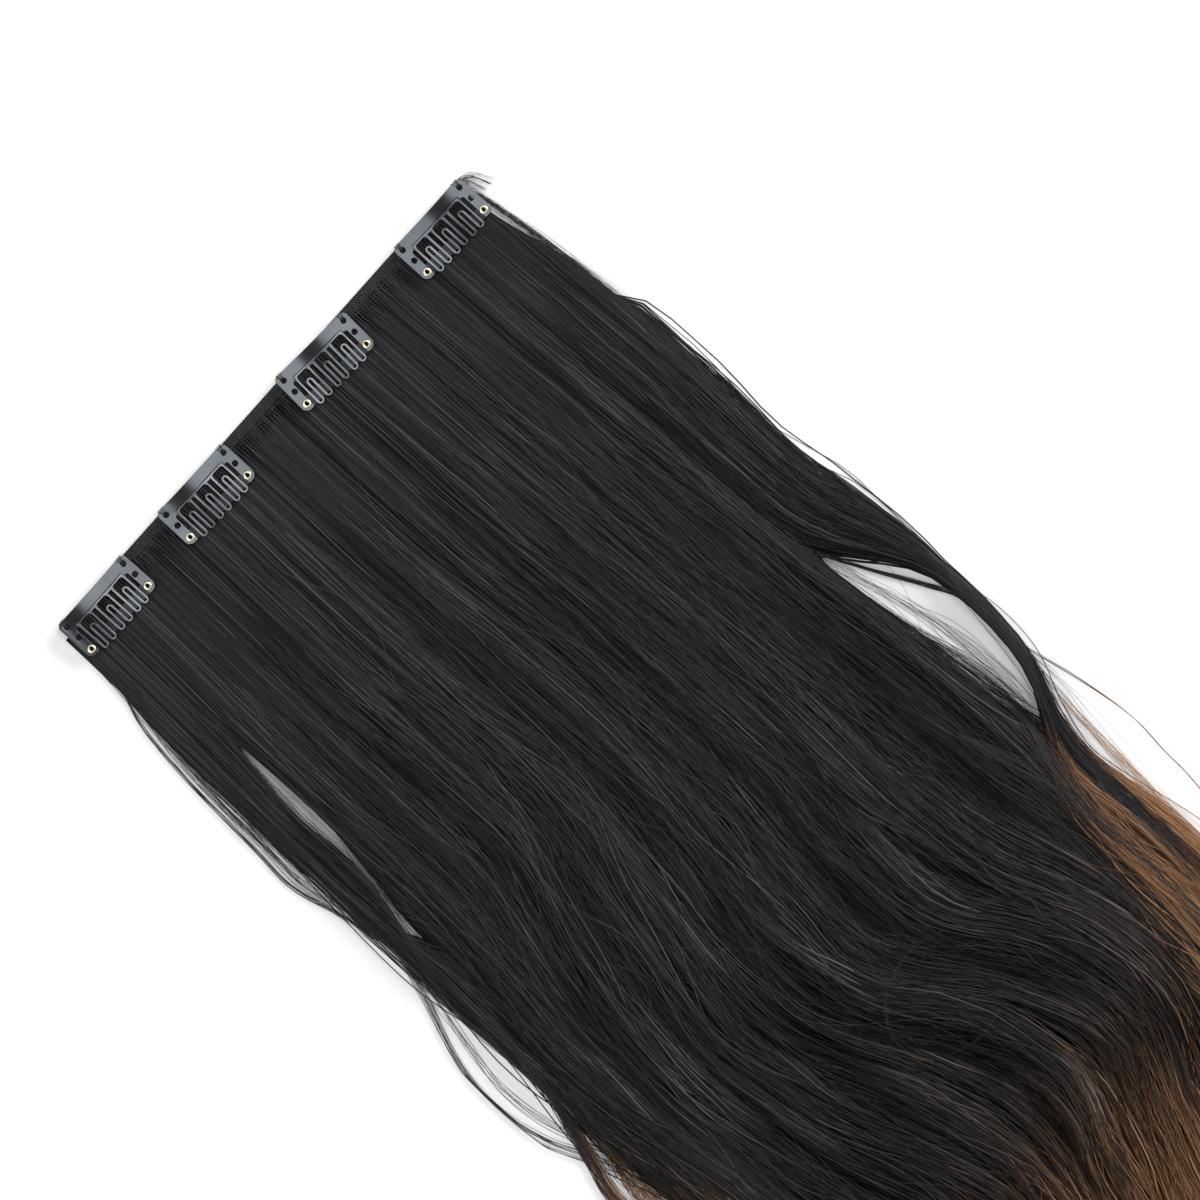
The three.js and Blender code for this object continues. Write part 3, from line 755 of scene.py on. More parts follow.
# %% Loose wisps
HOOP = [
    (30, 282), (16, 277), (6, 275), (-5, 277), (-12, 282), (-17, 291), (-16, 302), (-5, 309),
    (4, 310), (12, 309),
]
LOOSE = [
    # hairs, spread, height, width, fade, points
    (14, 0.5, 0.8, 0.15, 400, [
        (-96, 24), (-100, 32), (-104, 44), (-107, 67), (-109, 96), (-110, 113), (-105.6, 133),
        (-103, 150),
    ]),
    (30, 1.5, 0.7, 0.1, 400, [
        (-95, 30), (-100.5, 44), (-104, 67), (-106, 96), (-107, 113), (-104, 133), (-101, 150),
    ]),
    (16, 0.7, 2.5, 0.13, 400, [
        (-87, 60), (-89, 80), (-91, 98), (-91.5, 118), (-92.5, 135), (-96, 150), (-100, 166),
    ]),
    (16, 0.9, 0.8, 0.16, 280, [
        (-104, 155), (-109, 170), (-115.5, 186), (-119, 200), (-119.8, 214), (-117.5, 229),
        (-113, 241), (-108, 254),
    ]),
    (8, 1.6, 0.7, 0.13, 300, [
        (-103, 150), (-107, 172), (-111, 190), (-114, 208), (-113, 226), (-108, 243), (-100, 262),
    ]),
    (74, 1.5, 1.4, 0.2, 222, [
        (-98, 188), (-103, 214), (-107, 229), (-111.5, 243), (-115.4, 256), (-117, 275), (-116, 300),
        (-110, 335), (-103, 370), (-99, 410), (-97, 450),
    ]),
    (64, 2.4, 0.2, 0.15, 222, [
        (-98, 222), (-103.5, 239), (-108, 255), (-109, 272), (-106, 295), (-102, 315), (-98, 340),
        (-95, 380), (-97, 430),
    ]),
    (20, 0.5, 0.9, 0.18, 300, [
        (78, 148), (83, 165), (91.5, 184), (99.5, 200), (104.5, 213), (104.5, 235), (97, 256),
        (88, 280),
    ]),
    (26, 1.3, 0.7, 0.1, 300, [(78, 150), (82, 180), (85, 203), (90, 228), (91, 250), (87, 275)]),
    (16, 2.6, 0.7, 0.09, 300, [(80, 158), (88, 190), (93, 215), (94.5, 240), (91, 262)]),
    (4, 0.25, 0.8, 0.18, 222, [
        (104, 225), (106.4, 239), (110, 258), (112.3, 279), (111, 295), (110, 309), (104, 345),
    ]),
    (20, 2.2, 0.8, 0.08, 236, [
        (104, 222), (104.6, 238), (103.4, 253), (101.2, 270), (98.5, 292), (96, 322),
    ]),
    (150, 1.9, 1.6, 0.26, 240, [
        (106.2, 205), (106.4, 222), (103.2, 241), (96.4, 258), (92.4, 274), (93, 290), (94.2, 308),
        (94, 322), (90, 350), (81, 385), (72, 420), (69, 450), (72, 480),
    ]),
    (60, 1.7, 3.2, 0.2, 306, [
        (105.2, 208), (105.2, 226), (101.8, 243), (95.4, 259), (91.8, 277), (91, 300), (90, 322),
        (86, 350), (76, 388), (68, 425), (68, 462),
    ]),
    (66, 2.9, 2.4, 0.24, 262, [
        (89, 250), (85, 264), (81.5, 278), (79, 292), (78.5, 306), (80, 322), (80.5, 342),
        (75.5, 380), (67, 430), (66, 462),
    ]),
    (14, 1.2, 0.7, 0.1, 110, [(102, 258), (99.8, 280), (98.8, 300), (97, 325), (91, 352)]),
    (26, 2.2, 3.4, 0.16, 338, [
        (70, 240), (76, 262), (79, 285), (80, 310), (77, 340), (68, 378), (60, 420), (61, 460),
    ]),
    (46, 1.3, 0.5, 0.085, 300, [
        (95, 2), (97.2, 8), (98.8, 20), (101, 42), (102.4, 75), (102.2, 110), (102, 150), (104, 190),
    ]),
    (36, 1.0, 0.4, 0.075, 300, [(95, 3), (97.6, 10), (99, 22), (100.6, 42), (101, 66), (99, 96)]),
    (40, 1.2, 0.5, 0.08, 400, [
        (-96, 5), (-97.8, 14), (-99, 26), (-100.6, 42), (-102.4, 60), (-104, 85), (-104.5, 112),
    ]),
    (26, 1.6, 1.0, 0.11, 300, [(93, 2.5), (96.5, 1), (99.5, 3), (101.5, 9)]),
    (3, 0.35, 1.1, 0.13, 292, HOOP),
    (2, 0.5, 0.6, 0.14, 300, [(48, 128), (55, 150), (60, 182), (65, 215), (74, 240), (86, 262)]),
    (3, 0.8, 0.5, 0.14, 300, [(-48, 210), (-26, 236), (2, 262), (22, 300), (30, 345)]),
    (3, 0.9, 0.5, 0.14, 300, [(20, 190), (44, 225), (52, 262), (44, 305), (34, 350)]),
]
LOOSE_STEPS = 48
LEFT_LIMIT = 118.5  # mm; hairs that pass it are drawn back, so that the part keeps its width


def through(points, steps):
    """A Catmull-Rom curve through the points, at evenly spaced parameters."""
    points = np.asarray(points, float)
    u = np.linspace(0, len(points) - 1, steps)
    i = np.clip(np.floor(u).astype(int), 0, len(points) - 2)
    w = (u - i)[:, None]
    p0, p1 = points[np.maximum(i - 1, 0)], points[i]
    p2, p3 = points[i + 1], points[np.minimum(i + 2, len(points) - 1)]
    v0, v1 = (p2 - p0) / 2, (p3 - p1) / 2
    return (2 * p1 - 2 * p2 + v0 + v1) * w**3 + (3 * p2 - 3 * p1 - 2 * v0 - v1) * w**2 + v0 * w + p1


def eased(values):
    """Each value averaged with its two neighbours on either side."""
    padded = np.pad(values, ((0, 0), (2, 2)), mode="edge")
    return sum(padded[:, k : k + values.shape[1]] for k in range(5)) / 5


rng = np.random.default_rng(31)
loose_x, loose_far, loose_width, loose_high, loose_fade, loose_shade_and_highlight = [], [], [], [], [], []
run = np.linspace(0, 1, LOOSE_STEPS)
for hairs, spread, high, wide, fade, points in LOOSE:
    line = through(points, 4 * LOOSE_STEPS)
    shortest = 0.78 if points[-1][1] > 400 else 1  # free ends don't all stop in one place
    reach = run * rng.uniform(shortest, 1, (hairs, 1))
    line_x, line_far = (np.interp(reach, np.linspace(0, 1, len(line)), line[:, k]) for k in (0, 1))
    fan = rng.normal(0, spread, (hairs, 1)) * np.minimum(0.15 + 3 * run, 0.3 + 0.9 * run)
    fan = fan + wander((hairs,), line_far, (40, 110), rng) * spread * np.minimum(0.15 + 6 * run, 0.7)
    loose_x.append(line_x + fan)
    loose_far.append(line_far + rng.normal(0, 0.6, (hairs, 1)))
    loose_width.append(wide * rng.uniform(0.7, 1.3, (hairs, 1)))
    loose_high.append(high * rng.uniform(0.5, 1.3, (hairs, 1)))
    loose_fade.append(fade + rng.normal(0, 14, (hairs, 1)))
    # Painted highlight: wisps of fewer than four hairs get a lighter colour, to stand for the light they
    # catch.
    loose_shade_and_highlight.append(rng.uniform(0.8, 2.2, (hairs, 1)) * (2.4 if hairs < 4 else 1))

# %% Hairs that cross the others
CROSSING = 560
start = rng.uniform(24, 330, (CROSSING, 1))
cross_far = start + rng.uniform(70, 230, (CROSSING, 1)) * np.linspace(0, 1, LOOSE_STEPS)
cross_far = np.minimum(cross_far, 500)
cross_root = rng.uniform(-0.98, 0.86, (CROSSING, 1))
cross_x = cross_root * ROOT_HALF + sway(cross_root, cross_far)
stray = 0.6 + 11 * rng.random((CROSSING, 1)) ** 2.4
cross_x = cross_x + stray * wander((CROSSING,), cross_far, (50, 170), rng)
loose_x.append(cross_x)
loose_far.append(cross_far)
loose_width.append(rng.uniform(0.11, 0.17, (CROSSING, 1)))
loose_high.append(rng.uniform(0.2, 1.1, (CROSSING, 1)))
loose_fade.append(np.interp(cross_root, FADE[:, 0], FADE[:, 1]))
# Painted highlight: the crossing hairs get a lighter colour, to stand for the light they catch.
loose_shade_and_highlight.append(rng.uniform(1.0, 5.0, (CROSSING, 1)))
loose_x, loose_far = np.concatenate(loose_x), np.concatenate(loose_far)
loose_x = np.where(loose_x < -LEFT_LIMIT, -LEFT_LIMIT + 0.4 * (loose_x + LEFT_LIMIT), loose_x)
loose_high, loose_fade = np.concatenate(loose_high), np.concatenate(loose_fade)
slimmed = np.sin(np.pi * np.linspace(0.04, 0.96, LOOSE_STEPS)) ** 0.4
level = eased(surface(loose_x, loose_far)) + loose_high * soft_step(5, 30, loose_far)
level = np.maximum(level, 0.1)
faded = loose_far - loose_fade
loose_tone = 0.62 * soft_step(0, 60, faded) + 0.38 * soft_step(60, 190, faded)
loose_shade_and_highlight = np.concatenate(loose_shade_and_highlight)
loose_shade_and_highlight = mix(loose_shade_and_highlight, np.minimum(loose_shade_and_highlight, 1.4), soft_step(0, 0.2, loose_tone))
made = ribbons(
    np.stack([loose_x, TRACK["width"] / 2 - loose_far, level], -1),
    np.concatenate(loose_width) * slimmed,
    rng.normal(0, 0.3, loose_fade.shape) + 0 * loose_far,
    "loose_wisps",
    loose_tone,
    loose_shade_and_highlight,
)
print(made.name, 2 * len(made.data.polygons), "triangles")

# %% [markdown]
# ## The track
# The track is hair folded over thread and stitched flat: two soft ridges with the seam between them,
# covered in short slanting turns like a cord. A surface of distance along and angle round the section
# carries the two ridges, and a slanting wave of about a millimetre lays the turns on it. The grooves
# between the turns are given painted shade.

# %% Track surface
TURN = 1.05  # one slanting turn of hair
section = np.array(
    [
        [0.05, 0], [0, 0.12], [0.03, 0.7], [0.16, 0.97], [0.34, 1], [0.5, 0.74], [0.66, 0.93],
        [0.84, 0.9], [0.97, 0.62], [1, 0.12], [0.95, 0],
    ]
)
ROUND, TRACK_STEPS = 26, 1300
loop = np.concatenate([section, section[:1]])
spans = np.diff(loop * (TRACK["width"], TRACK["height"]), axis=0)
steps = np.concatenate([[0], np.cumsum(np.linalg.norm(spans, axis=1))])
at = np.linspace(0, steps[-1], ROUND, endpoint=False)
profile = np.stack([np.interp(at, steps, loop[:, k]) for k in (0, 1)], -1)
along = np.linspace(-TRACK["length"] / 2, TRACK["length"] / 2, TRACK_STEPS)
lie = (0.5 - profile[:, 0]) * TRACK["width"]
stand = profile[:, 1] * TRACK["height"]
slant = np.where(profile[:, 0] < 0.5, 1.0, -0.8)
turns = np.abs(np.sin((along[:, None] + slant * lie * 0.9) * np.pi / TURN))
uneven = 1 + 0.35 * np.sin(along[:, None] * 1.9) * np.sin(along[:, None] * 0.53 + slant)
groove = 0.5 * (1 - turns) ** 1.4 * uneven * soft_step(0.05, 0.4, profile[:, 1])
track_points = np.stack(
    [
        np.broadcast_to(along[:, None], turns.shape),
        lie * (1 - 0.2 * groove),
        np.maximum(stand - groove, 0.0),
    ],
    -1,
)
faces = grid_faces(len(along), ROUND, around=True)
hubs = track_points[[0, -1]].mean(1)
total = len(along) * ROUND
ring = np.arange(ROUND)
caps = np.concatenate(
    [
        np.stack([np.full(ROUND, total), ring, (ring + 1) % ROUND], -1),
        np.stack([np.full(ROUND, total + 1), total - ROUND + (ring + 1) % ROUND, total - ROUND + ring], -1),
    ]
)
track_uv = np.stack(np.broadcast_arrays(profile[:, 0] * TRACK["width"], along[:, None]), -1).reshape(-1, 2)
track_piece = mesh_piece(
    "track_cord",
    np.concatenate([track_points.reshape(-1, 3), hubs]),
    faces,
    uv=np.concatenate([track_uv, np.zeros((2, 2))]),
    tris=caps,
    numbers={"groove": np.concatenate([(2 * groove + 0 * turns).ravel(), [0, 0]])},
)

# %% Track finish
track_finish, nodes, links, shader = finish("track_hair")
streak = stretched_noise(nodes, links, 1.0, 2.2, 3.5, 4)
streak_less_groove_shade = nodes.new("ShaderNodeMath")
streak_less_groove_shade.operation = "SUBTRACT"
links.new(streak, streak_less_groove_shade.inputs[0])
links.new(attribute(nodes, "groove"), streak_less_groove_shade.inputs[1])
# Painted shade: the colour darkens with the depth of each groove between the turns.
GROOVE_PAINTED_SHADE, RIDGES = (0.003, 0.003, 0.004), (0.045, 0.043, 0.043)
coloured(nodes, links, shader, streak_less_groove_shade.outputs[0], [(0.0, GROOVE_PAINTED_SHADE), (0.6, RIDGES)])
bump = nodes.new("ShaderNodeBump")
bump.inputs["Distance"].default_value = 0.0002
socket(bump, "Strength", 0.6)
links.new(streak, bump.inputs["Height"])
links.new(bump.outputs[0], shader.inputs["Normal"])
socket(shader, "Roughness", 0.55)
socket(shader, "Specular IOR Level", 0.2)
track_piece.data.materials.append(track_finish)
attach(track_piece, "weft")
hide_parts("track")
print("track", 2 * len(faces), "triangles")

# %% [markdown]
# ## The snap clips
# Each clip is stamped from spring steel: a plate with a bay cut out of it, a comb of bent teeth in the
# bay, and a pressure band riveted behind the teeth. A flat outline with its holes, given a thickness and
# a rounded edge, is just what a stamping is, so Blender's 2D curve makes it. The sheet is then cut
# across every millimetre or so and bent, as the CAD plate is, to follow a head.

# %% Sizes of a clip
CLIP = {"length": 32, "width": 15.4, "sheet": 0.5, "bow": 1.4, "margin": 3.85, "lug": 3.63}
CORNER = {"upper": 1.8, "lower": 2.2, "bay": 0.5}
SLOT = {"half": 0.8, "top": 5.2}
SEWING = {"inset": 2.25, "rows": (2.5, 7.6), "radius": 1.0}
EYELET = {"inset": 2.3, "row": 13.1, "flange": 1.42, "barrel": 0.86, "bore": 0.7, "rim": 0.28}
COMB = {"wire": 0.52, "outer": 2.675, "inner": 1.03, "inner_top": 8.6, "tip": 15.25}
COMB |= {"bar": 0.52, "slack": 0.35}  # the root bar, and its play below the plate's margin
BAND = {"width": 4.3, "sheet": 0.4}
GAP = 0.12
CLIPS = [(-0.838, 0.1), (-0.342, -1.0), (0.25, -3.2), (0.834, -0.4)]
HALF = CLIP["length"] / 2
BOW_RADIUS = (HALF**2 + CLIP["bow"] ** 2) / (2 * CLIP["bow"])
comb_half = HALF - CLIP["lug"] - 2 * SLOT["half"]
pitch = comb_half - COMB["outer"] - COMB["wire"] / 2
sewing_x, eyelet_x = HALF - SEWING["inset"], HALF - EYELET["inset"]


def rise(x):
    """Height of the bowed sheet over its middle: R - sqrt(R^2 - x^2)."""
    return BOW_RADIUS - np.sqrt(BOW_RADIUS**2 - x**2)


HOLE_SIDES = 24


def arc(cx, cy, r, start, stop, steps=8):
    """Points of an arc: (cx + r cos a, cy + r sin a), a from start to stop in degrees."""
    a = np.radians(np.linspace(start, stop, steps + 1))
    return np.stack([cx + r * np.cos(a), cy + r * np.sin(a)], -1)


def round_hole(x, y, r):
    return arc(x, y, r, 0, 360 - 360 / HOLE_SIDES, HOLE_SIDES - 1)


def mirrored(right_half):
    """The right half of an outline, from the top's middle to the bottom's, and its mirror image."""
    return np.concatenate([right_half, right_half[::-1] * (-1, 1)])


# %% Outlines of the stampings
slot_x = HALF - CLIP["lug"] - SLOT["half"]
bay = comb_half + 0.35
slot_turn = math.degrees(math.acos((bay - slot_x) / SLOT["half"]))
inner_lug = slot_x + SLOT["half"]
plate_outline = mirrored(
    np.concatenate(
        [
            arc(HALF - CORNER["upper"], -CORNER["upper"], CORNER["upper"], 90, 0),
            arc(HALF - CORNER["lower"], -CLIP["width"] + CORNER["lower"], CORNER["lower"], 0, -90),
            arc(inner_lug + 0.4, -CLIP["width"] + 0.4, 0.4, -90, -180, 4),
            arc(slot_x, -SLOT["top"] - SLOT["half"], SLOT["half"], 0, slot_turn, 10),
            arc(bay - CORNER["bay"], -CLIP["margin"] - CORNER["bay"], CORNER["bay"], 0, 90, 4),
        ]
    )
)
eyelet_holes = [round_hole(s * eyelet_x, -EYELET["row"], EYELET["barrel"] + 0.04) for s in (-1, 1)]
plate_holes = [round_hole(s * sewing_x, -row, SEWING["radius"]) for s in (-1, 1) for row in SEWING["rows"]]
plate_holes += eyelet_holes
w = COMB["wire"] / 2
bend = (COMB["outer"] - COMB["inner"]) / 2
tip_x = (COMB["outer"] + COMB["inner"]) / 2
bar_top = -CLIP["margin"] - COMB["slack"]
bar_low = bar_top - COMB["bar"]


def tooth_outside(m):
    """A tooth's outer edge from its right leg to its left one, round both tips and under the arch."""
    return [
        [[m + COMB["outer"] + w, bar_low]],
        arc(m + tip_x, -COMB["tip"], bend + w, 0, -180, 12),
        arc(m, -COMB["inner_top"], COMB["inner"] - w, 0, 180, 10),
        arc(m - tip_x, -COMB["tip"], bend + w, 0, -180, 12),
        [[m - COMB["outer"] - w, bar_low]],
    ]


def tooth_window(m):
    """The opening between the bar, the outer legs and the arch of a tooth."""
    x, r = COMB["outer"] - w, 1.0
    return np.concatenate(
        [
            arc(m - x + r, bar_low - r, r, 180, 90, 6),
            arc(m + x - r, bar_low - r, r, 90, 0, 6),
            arc(m + tip_x, -COMB["tip"], bend - w, 0, -180, 10),
            arc(m, -COMB["inner_top"], COMB["inner"] + w, 0, 180, 12),
            arc(m - tip_x, -COMB["tip"], bend - w, 0, -180, 10),
        ]
    )


comb_outline = [[[-comb_half, bar_low]], [[-comb_half, bar_top]]]
comb_outline += [[[comb_half, bar_top]], [[comb_half, bar_low]]]
for i in (1, 0, -1):
    comb_outline += tooth_outside(i * pitch)
comb_outline = np.concatenate(comb_outline)
comb_holes = [tooth_window(i * pitch) for i in (-1, 0, 1)]
r = BAND["width"] / 2
band_outline = np.concatenate(
    [arc(eyelet_x, -EYELET["row"], r, -90, 90, 14), arc(-eyelet_x, -EYELET["row"], r, 90, 270, 14)]
)
print("comb pitch", round(pitch, 2), "mm, plate", CLIP["length"], "x", CLIP["width"], "mm")


# %% A flat stamping, cut across and bent
CUTS = np.arange(-15.2, 15.3, 1.6)  # where a sheet is cut across, so that it can bend


def stamping(outline, holes, low, high, edge):
    """Vertices in mm and faces of a flat sheet from z = low to high with rounded edges, bent by rise(x)."""
    curve = bpy.data.curves.new("stamping", "CURVE")
    curve.dimensions, curve.fill_mode = "2D", "BOTH"
    curve.extrude = (high - low) / 2 - edge
    curve.bevel_depth, curve.bevel_resolution, curve.offset = edge, 2, -edge
    for ring_points in [outline, *holes]:
        spline = curve.splines.new("POLY")
        spline.points.add(len(ring_points) - 1)
        flat = np.zeros((len(ring_points), 4))
        flat[:, :2], flat[:, 3] = ring_points, 1
        spline.points.foreach_set("co", flat.ravel())
        spline.use_cyclic_u = True
    holder = bpy.data.objects.new("stamping", curve)
    bpy.context.scene.collection.objects.link(holder)
    bpy.context.view_layer.update()
    mesh = bpy.data.meshes.new_from_object(holder.evaluated_get(bpy.context.evaluated_depsgraph_get()))
    bpy.data.objects.remove(holder)
    bpy.data.curves.remove(curve)
    return cut_and_bent(mesh, (low + high) / 2)


def cut_and_bent(mesh, height):
    """The sheet cut across at CUTS and bent: (x - h sin a, y, rise(x) + h cos a) with sin a = x / R."""
    bm = bmesh.new()
    bm.from_mesh(mesh)
    bmesh.ops.remove_doubles(bm, verts=bm.verts, dist=1e-4)
    for x in CUTS:
        everything = bm.verts[:] + bm.edges[:] + bm.faces[:]
        bmesh.ops.bisect_plane(bm, geom=everything, plane_co=(x, 0, 0), plane_no=(1, 0, 0), dist=1e-5)
    bmesh.ops.recalc_face_normals(bm, faces=bm.faces)
    bmesh.ops.triangulate(bm, faces=bm.faces)
    bm.to_mesh(mesh)
    bm.free()
    points = np.empty(len(mesh.vertices) * 3, np.float32)
    mesh.vertices.foreach_get("co", points)
    points = points.reshape(-1, 3).astype(float)
    faces = np.empty(len(mesh.loops), np.int32)
    mesh.loops.foreach_get("vertex_index", faces)
    bpy.data.meshes.remove(mesh)
    turn = np.arcsin(points[:, 0] / BOW_RADIUS)
    lifted = points[:, 2] + height
    bent = np.stack(
        [points[:, 0] - lifted * np.sin(turn), points[:, 1], rise(points[:, 0]) + lifted * np.cos(turn)], -1
    )
    return bent, faces.reshape(-1, 3)


def area_normals(points, faces):
    """Vertex normals weighted by face area, so that a large flat face keeps its own and edges round off."""
    a, b, c = (points[faces[:, k]] for k in range(3))
    face = np.cross(b - a, c - a)
    normals = np.zeros_like(points)
    for k in range(3):
        np.add.at(normals, faces[:, k], face)
    return normals / (np.linalg.norm(normals, axis=1, keepdims=True) + 1e-12)


STAMPED = {
    "plate": (*stamping(plate_outline, plate_holes, 0, CLIP["sheet"], 0.1), "weft"),
    "comb": (*stamping(comb_outline, comb_holes, 0, CLIP["sheet"], 0.19), "comb"),
    "band": (*stamping(band_outline, eyelet_holes, -GAP - BAND["sheet"], -GAP, 0.12), "weft"),
}
for key, (points, faces, body) in STAMPED.items():
    low, high = points[:, 2].min().round(2), points[:, 2].max().round(2)
    print(key, len(faces), "triangles, z from", low, "to", high)

# %% [markdown]
# ## Brass eyelets
# Two hollow rivets hold plate and band together. Their rims are rolled over, so the section is a
# straight barrel with a half-round lip at each end, turned about the rivet's own axis.

# %% Eyelet by turning a section
below, above = -GAP - BAND["sheet"] - GAP, CLIP["sheet"] + 0.02
lip = EYELET["rim"]
lip_mid = (EYELET["flange"] + EYELET["bore"]) / 2
lip_half = (EYELET["flange"] - EYELET["bore"]) / 2


def lip_arc(z, sign, start, stop):
    """Half an ellipse over the rim: wide as the flange, `rim` high."""
    a = np.radians(np.linspace(start, stop, 9))
    return np.stack([lip_mid + lip_half * np.cos(a), z + sign * lip * np.sin(a)], -1)


eyelet_profile = np.concatenate(
    [
        [[EYELET["barrel"], below]],
        lip_arc(below, -1, 0, 180),
        [[EYELET["bore"], (below + above) / 2]],
        lip_arc(above, 1, 180, 0),
        [[EYELET["barrel"], above]],
    ]
)
TURNS = 32
angle = np.linspace(0, 2 * np.pi, TURNS, endpoint=False)
ring_xy = np.stack([np.cos(angle), np.sin(angle)], -1)
eyelet_points = np.concatenate(
    [
        eyelet_profile[:, None, :1] * ring_xy[None],
        np.broadcast_to(eyelet_profile[:, None, 1:], (len(eyelet_profile), TURNS, 1)),
    ],
    -1,
)
eyelet_closed = np.concatenate([eyelet_points, eyelet_points[:1]])
eyelet_faces = grid_faces(len(eyelet_closed), TURNS, around=True) % (len(eyelet_points) * TURNS)
print("eyelet", 2 * len(eyelet_faces), "triangles")

# %% [markdown]
# ## Finishes of the metal
# The steel is lacquered grey-black and polished by handling, so it mirrors the lamps softly. Fine noise
# in the roughness and a faint tint stop it from looking like a drawing. The eyelets are brass with a
# cream bloom.


# %% Metal finishes
def metal(name, dark, light, rough, bump_depth):
    """Coarse noise picks the colour from dark to light, fine noise the roughness and the grain."""
    material, nodes, links, shader = finish(name)
    coarse, fine = object_noise(nodes, links, 90.0), object_noise(nodes, links, 1900.0)
    coloured(nodes, links, shader, coarse, [(0.3, dark), (0.7, light)])
    spread = nodes.new("ShaderNodeMapRange")
    spread.inputs["To Min"].default_value, spread.inputs["To Max"].default_value = rough
    links.new(fine, spread.inputs["Value"])
    links.new(spread.outputs[0], shader.inputs["Roughness"])
    bump = nodes.new("ShaderNodeBump")
    socket(bump, "Strength", 0.25)
    socket(bump, "Distance", bump_depth)
    links.new(fine, bump.inputs["Height"])
    links.new(bump.outputs[0], shader.inputs["Normal"])
    socket(shader, "Metallic", 1.0)
    return material


STEEL_FINISH = {
    "plate": metal("lacquered_steel", (0.062, 0.068, 0.075), (0.085, 0.091, 0.098), (0.09, 0.16), 0.000006),
    "comb": metal("worn_steel", (0.075, 0.08, 0.088), (0.14, 0.147, 0.155), (0.14, 0.24), 0.00001),
    "band": metal("dark_steel", (0.011, 0.012, 0.014), (0.022, 0.024, 0.027), (0.14, 0.24), 0.00001),
}
brass_finish = metal("cream_brass", (0.58, 0.55, 0.38), (0.72, 0.69, 0.5), (0.26, 0.4), 0.00001)


# %% Clips in place
def placed(points, clip):
    """Points on a clip, turned and moved to where that clip sits on the track."""
    along, turn = CLIPS[clip]
    a = math.radians(turn)
    spun = points @ np.array([[math.cos(a), math.sin(a), 0], [-math.sin(a), math.cos(a), 0], [0, 0, 1]])
    return spun + (along * TRACK["length"] / 2, TRACK["width"] / 2, TRACK["height"] + GAP)


def tilted(points, x):
    """Points on a rivet's own axis, leant with the bowed sheet at x."""
    a = -math.asin(x / BOW_RADIUS)
    lean = np.array([[math.cos(a), 0, -math.sin(a)], [0, 1, 0], [math.sin(a), 0, math.cos(a)]])
    return points @ lean + (x, -EYELET["row"], rise(x))


for clip in range(len(CLIPS)):
    label = f"clip_{clip + 1}_"
    for key, (points, faces, body) in STAMPED.items():
        at = placed(points, clip)
        none = np.empty((0, 4), int)
        made = mesh_piece(label + key + "_steel", at, none, tris=faces, normals=area_normals(at, faces))
        made.data.materials.append(STEEL_FINISH[key])
        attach(made, "weft" if body == "weft" else f"comb_{clip + 1}")
        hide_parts(label + key)
    for end_name, x in (("left", -eyelet_x), ("right", eyelet_x)):
        at = placed(tilted(eyelet_points.reshape(-1, 3), x), clip)
        made = mesh_piece(label + "rivet_" + end_name, at, eyelet_faces)
        made.data.materials.append(brass_finish)
        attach(made, "weft")
        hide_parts(label + "eyelet_" + end_name)
print("clips dressed:", len(CLIPS))

# %% [markdown]
# ## Sewing thread
# A few stitches through the upper corner holes hold each plate to the track. Every stitch is a thin tube
# that comes up through the hole, crosses the plate and goes down over its edge: a ring of points carried
# along a curved path, all stitches in one array.

# %% Stitches over the plates' corners
STITCHES, THREAD, THREAD_SIDES = 4, 0.13, 6
rng = np.random.default_rng(47)


def tubes(paths, radius, sides):
    """Points of round tubes: path + radius (cos a n + sin a b), n level and square to the path."""
    along = np.gradient(paths, axis=1)
    along /= np.linalg.norm(along, axis=-1, keepdims=True)
    level = np.cross(along, (1.0, 0.13, 0.07))
    level /= np.linalg.norm(level, axis=-1, keepdims=True)
    other = np.cross(along, level)
    a = np.linspace(0, 2 * np.pi, sides, endpoint=False)[:, None]
    around = np.cos(a) * level[:, :, None] + np.sin(a) * other[:, :, None]
    ends = np.sin(np.pi * np.linspace(0.02, 0.98, paths.shape[1])) ** 0.15
    return paths[:, :, None] + radius * ends[:, None, None] * around


stitches = []
for clip in range(len(CLIPS)):
    for side in (-1, 1):
        for stitch in range(STITCHES):
            fan = (stitch - (STITCHES - 1) / 2) * 0.55 + rng.normal(0, 0.1)
            x, hole = side * sewing_x, -SEWING["rows"][0]
            top = CLIP["sheet"] + THREAD
            steps = through(
                [
                    (x + 0.2 * fan, hole - 0.1, -0.2),
                    (x + 0.3 * fan, hole + 0.5, top),
                    (x + 0.8 * fan, hole / 2, top + 0.08),
                    (x + 1.1 * fan, -0.1, top + 0.02),
                    (x + 1.2 * fan, 0.24, 0.1),
                    (x + 1.2 * fan, 0.1, -0.6),
                ],
                22,
            )
            steps[:, 2] += rise(np.clip(steps[:, 0], -HALF, HALF))
            stitches.append(placed(steps, clip))
stitches = np.stack(stitches)
thread_points = tubes(stitches, THREAD, THREAD_SIDES)
thread_faces = grid_faces(stitches.shape[1], THREAD_SIDES, len(stitches), around=True)
made = mesh_piece("sewing_thread", thread_points.reshape(-1, 3), thread_faces)
thread_finish, nodes, links, shader = finish("black_thread")
fibre = object_noise(nodes, links, 5000.0)
coloured(nodes, links, shader, fibre, [(0.3, (0.006, 0.006, 0.007)), (0.7, (0.02, 0.02, 0.021))])
socket(shader, "Roughness", 0.6)
socket(shader, "Specular IOR Level", 0.3)
made.data.materials.append(thread_finish)
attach(made, "weft")
print("stitches", len(stitches))

# %% [markdown]
# ## Table and light
# The table is plain and pale. Two wide lamps stand over the left and right of the weft with a dark gap
# between them where the camera is, and that gap is the dark patch that each bowed plate shows. Two lower
# lamps skim over the hair and light the table.

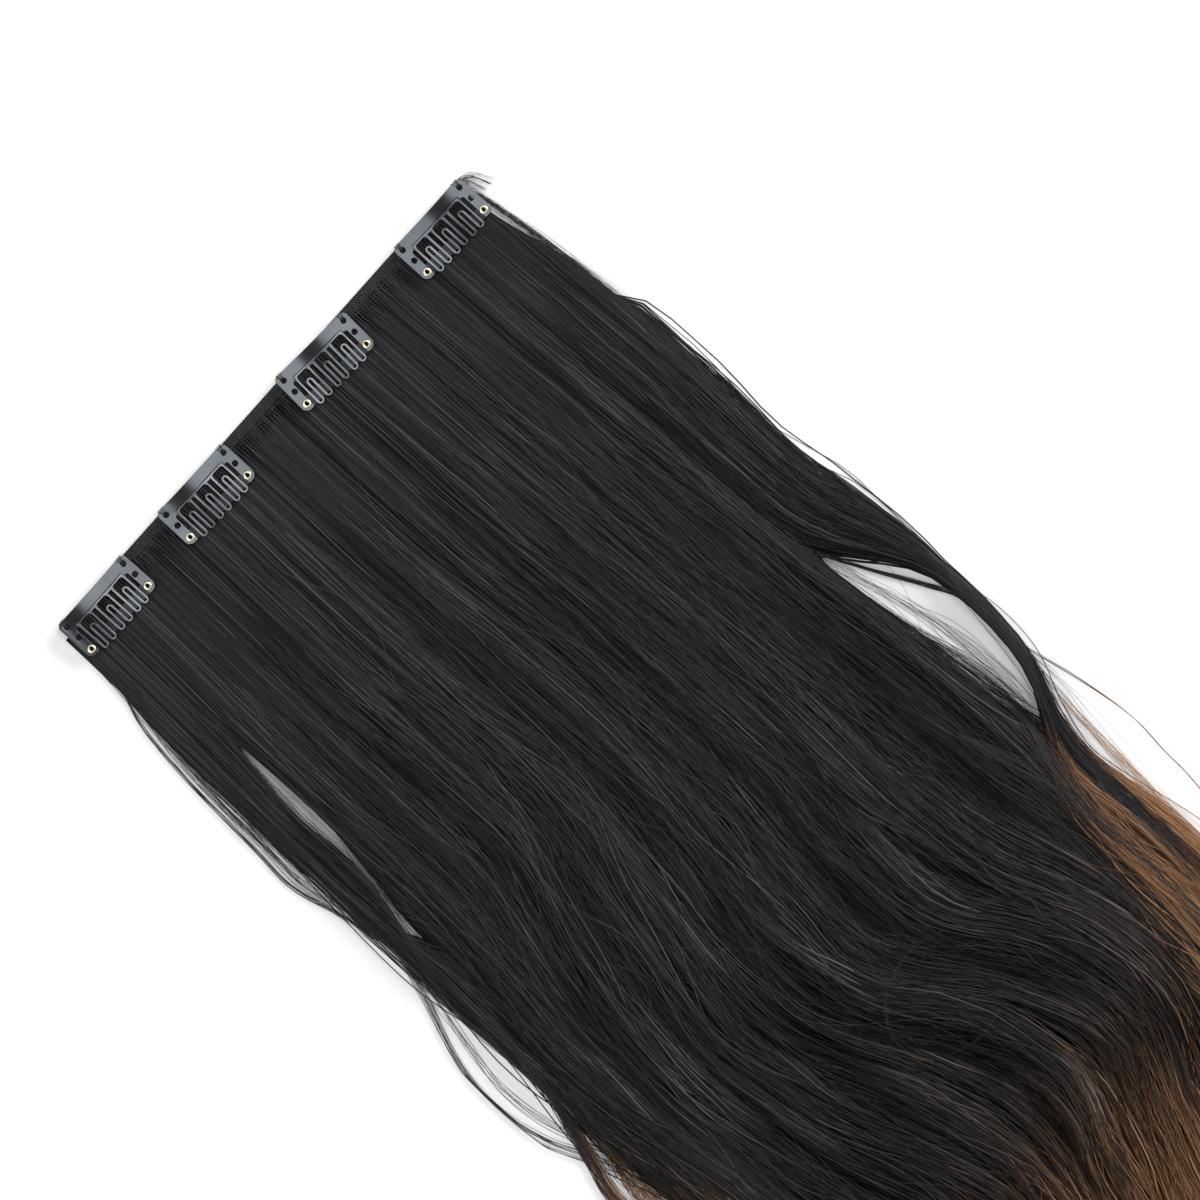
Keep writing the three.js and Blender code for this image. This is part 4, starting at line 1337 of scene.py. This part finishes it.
# %% Floor
FLOOR_HALF = 3000
floor_points = np.array([[-1, -1, 0], [1, -1, 0], [1, 1, 0], [-1, 1, 0]]) * FLOOR_HALF + (0, -250, -0.02)
floor = mesh_piece("floor", floor_points, np.array([[0, 1, 2, 3]]))
floor_finish, nodes, links, shader = finish("pale_table")
grain = object_noise(nodes, links, 40.0)
coloured(nodes, links, shader, grain, [(0.3, (0.86, 0.86, 0.86)), (0.7, (0.88, 0.88, 0.88))])
socket(shader, "Roughness", 0.9)
floor.data.materials.append(floor_finish)
floor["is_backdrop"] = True


# %% Lamps
def lamp(name, place, aim, size, power):
    """A rectangular softbox at `place`, turned to face `aim`, in millimetres and watts."""
    data = bpy.data.lights.new(name, "AREA")
    data.shape, data.size, data.size_y, data.energy = "RECTANGLE", size[0] * MM, size[1] * MM, power
    made = bpy.data.objects.new(name, data)
    bpy.context.scene.collection.objects.link(made)
    z = np.array(place, float) - np.array(aim, float)
    z /= np.linalg.norm(z)
    x = np.cross((0, 1.0, 0), z)
    x /= np.linalg.norm(x)
    m = np.eye(4)
    m[:3, 0], m[:3, 1], m[:3, 2], m[:3, 3] = x, np.cross(z, x), z, np.array(place) * MM
    made.matrix_world = Matrix(m)


# name: place, what it faces, size, radiance wanted
LAMPS = {
    "over_left": ((-400, 60, 1300), (-400, 60, 0), (640, 1000), 2.8),
    "over_right": ((480, 60, 1300), (480, 60, 0), (640, 1000), 2.8),
    "low_left": ((-1700, -200, 700), (0, -150, 0), (1000, 1800), 4.0),
    "low_right": ((1700, -200, 700), (0, -150, 0), (1000, 1800), 8.5),
}
for name, (place, aim, size, radiance) in LAMPS.items():
    area = size[0] * size[1] * MM * MM
    lamp(name, place, aim, size, radiance * math.pi * area)
world = bpy.data.worlds.new("studio")
world.use_nodes = True
world.node_tree.nodes["Background"].inputs["Color"].default_value = (0.9, 0.92, 0.95, 1)
world.node_tree.nodes["Background"].inputs["Strength"].default_value = 0.22
bpy.context.scene.world = world
bpy.context.scene.view_settings.view_transform = "Standard"

# %% Sizes of what is drawn
low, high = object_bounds()
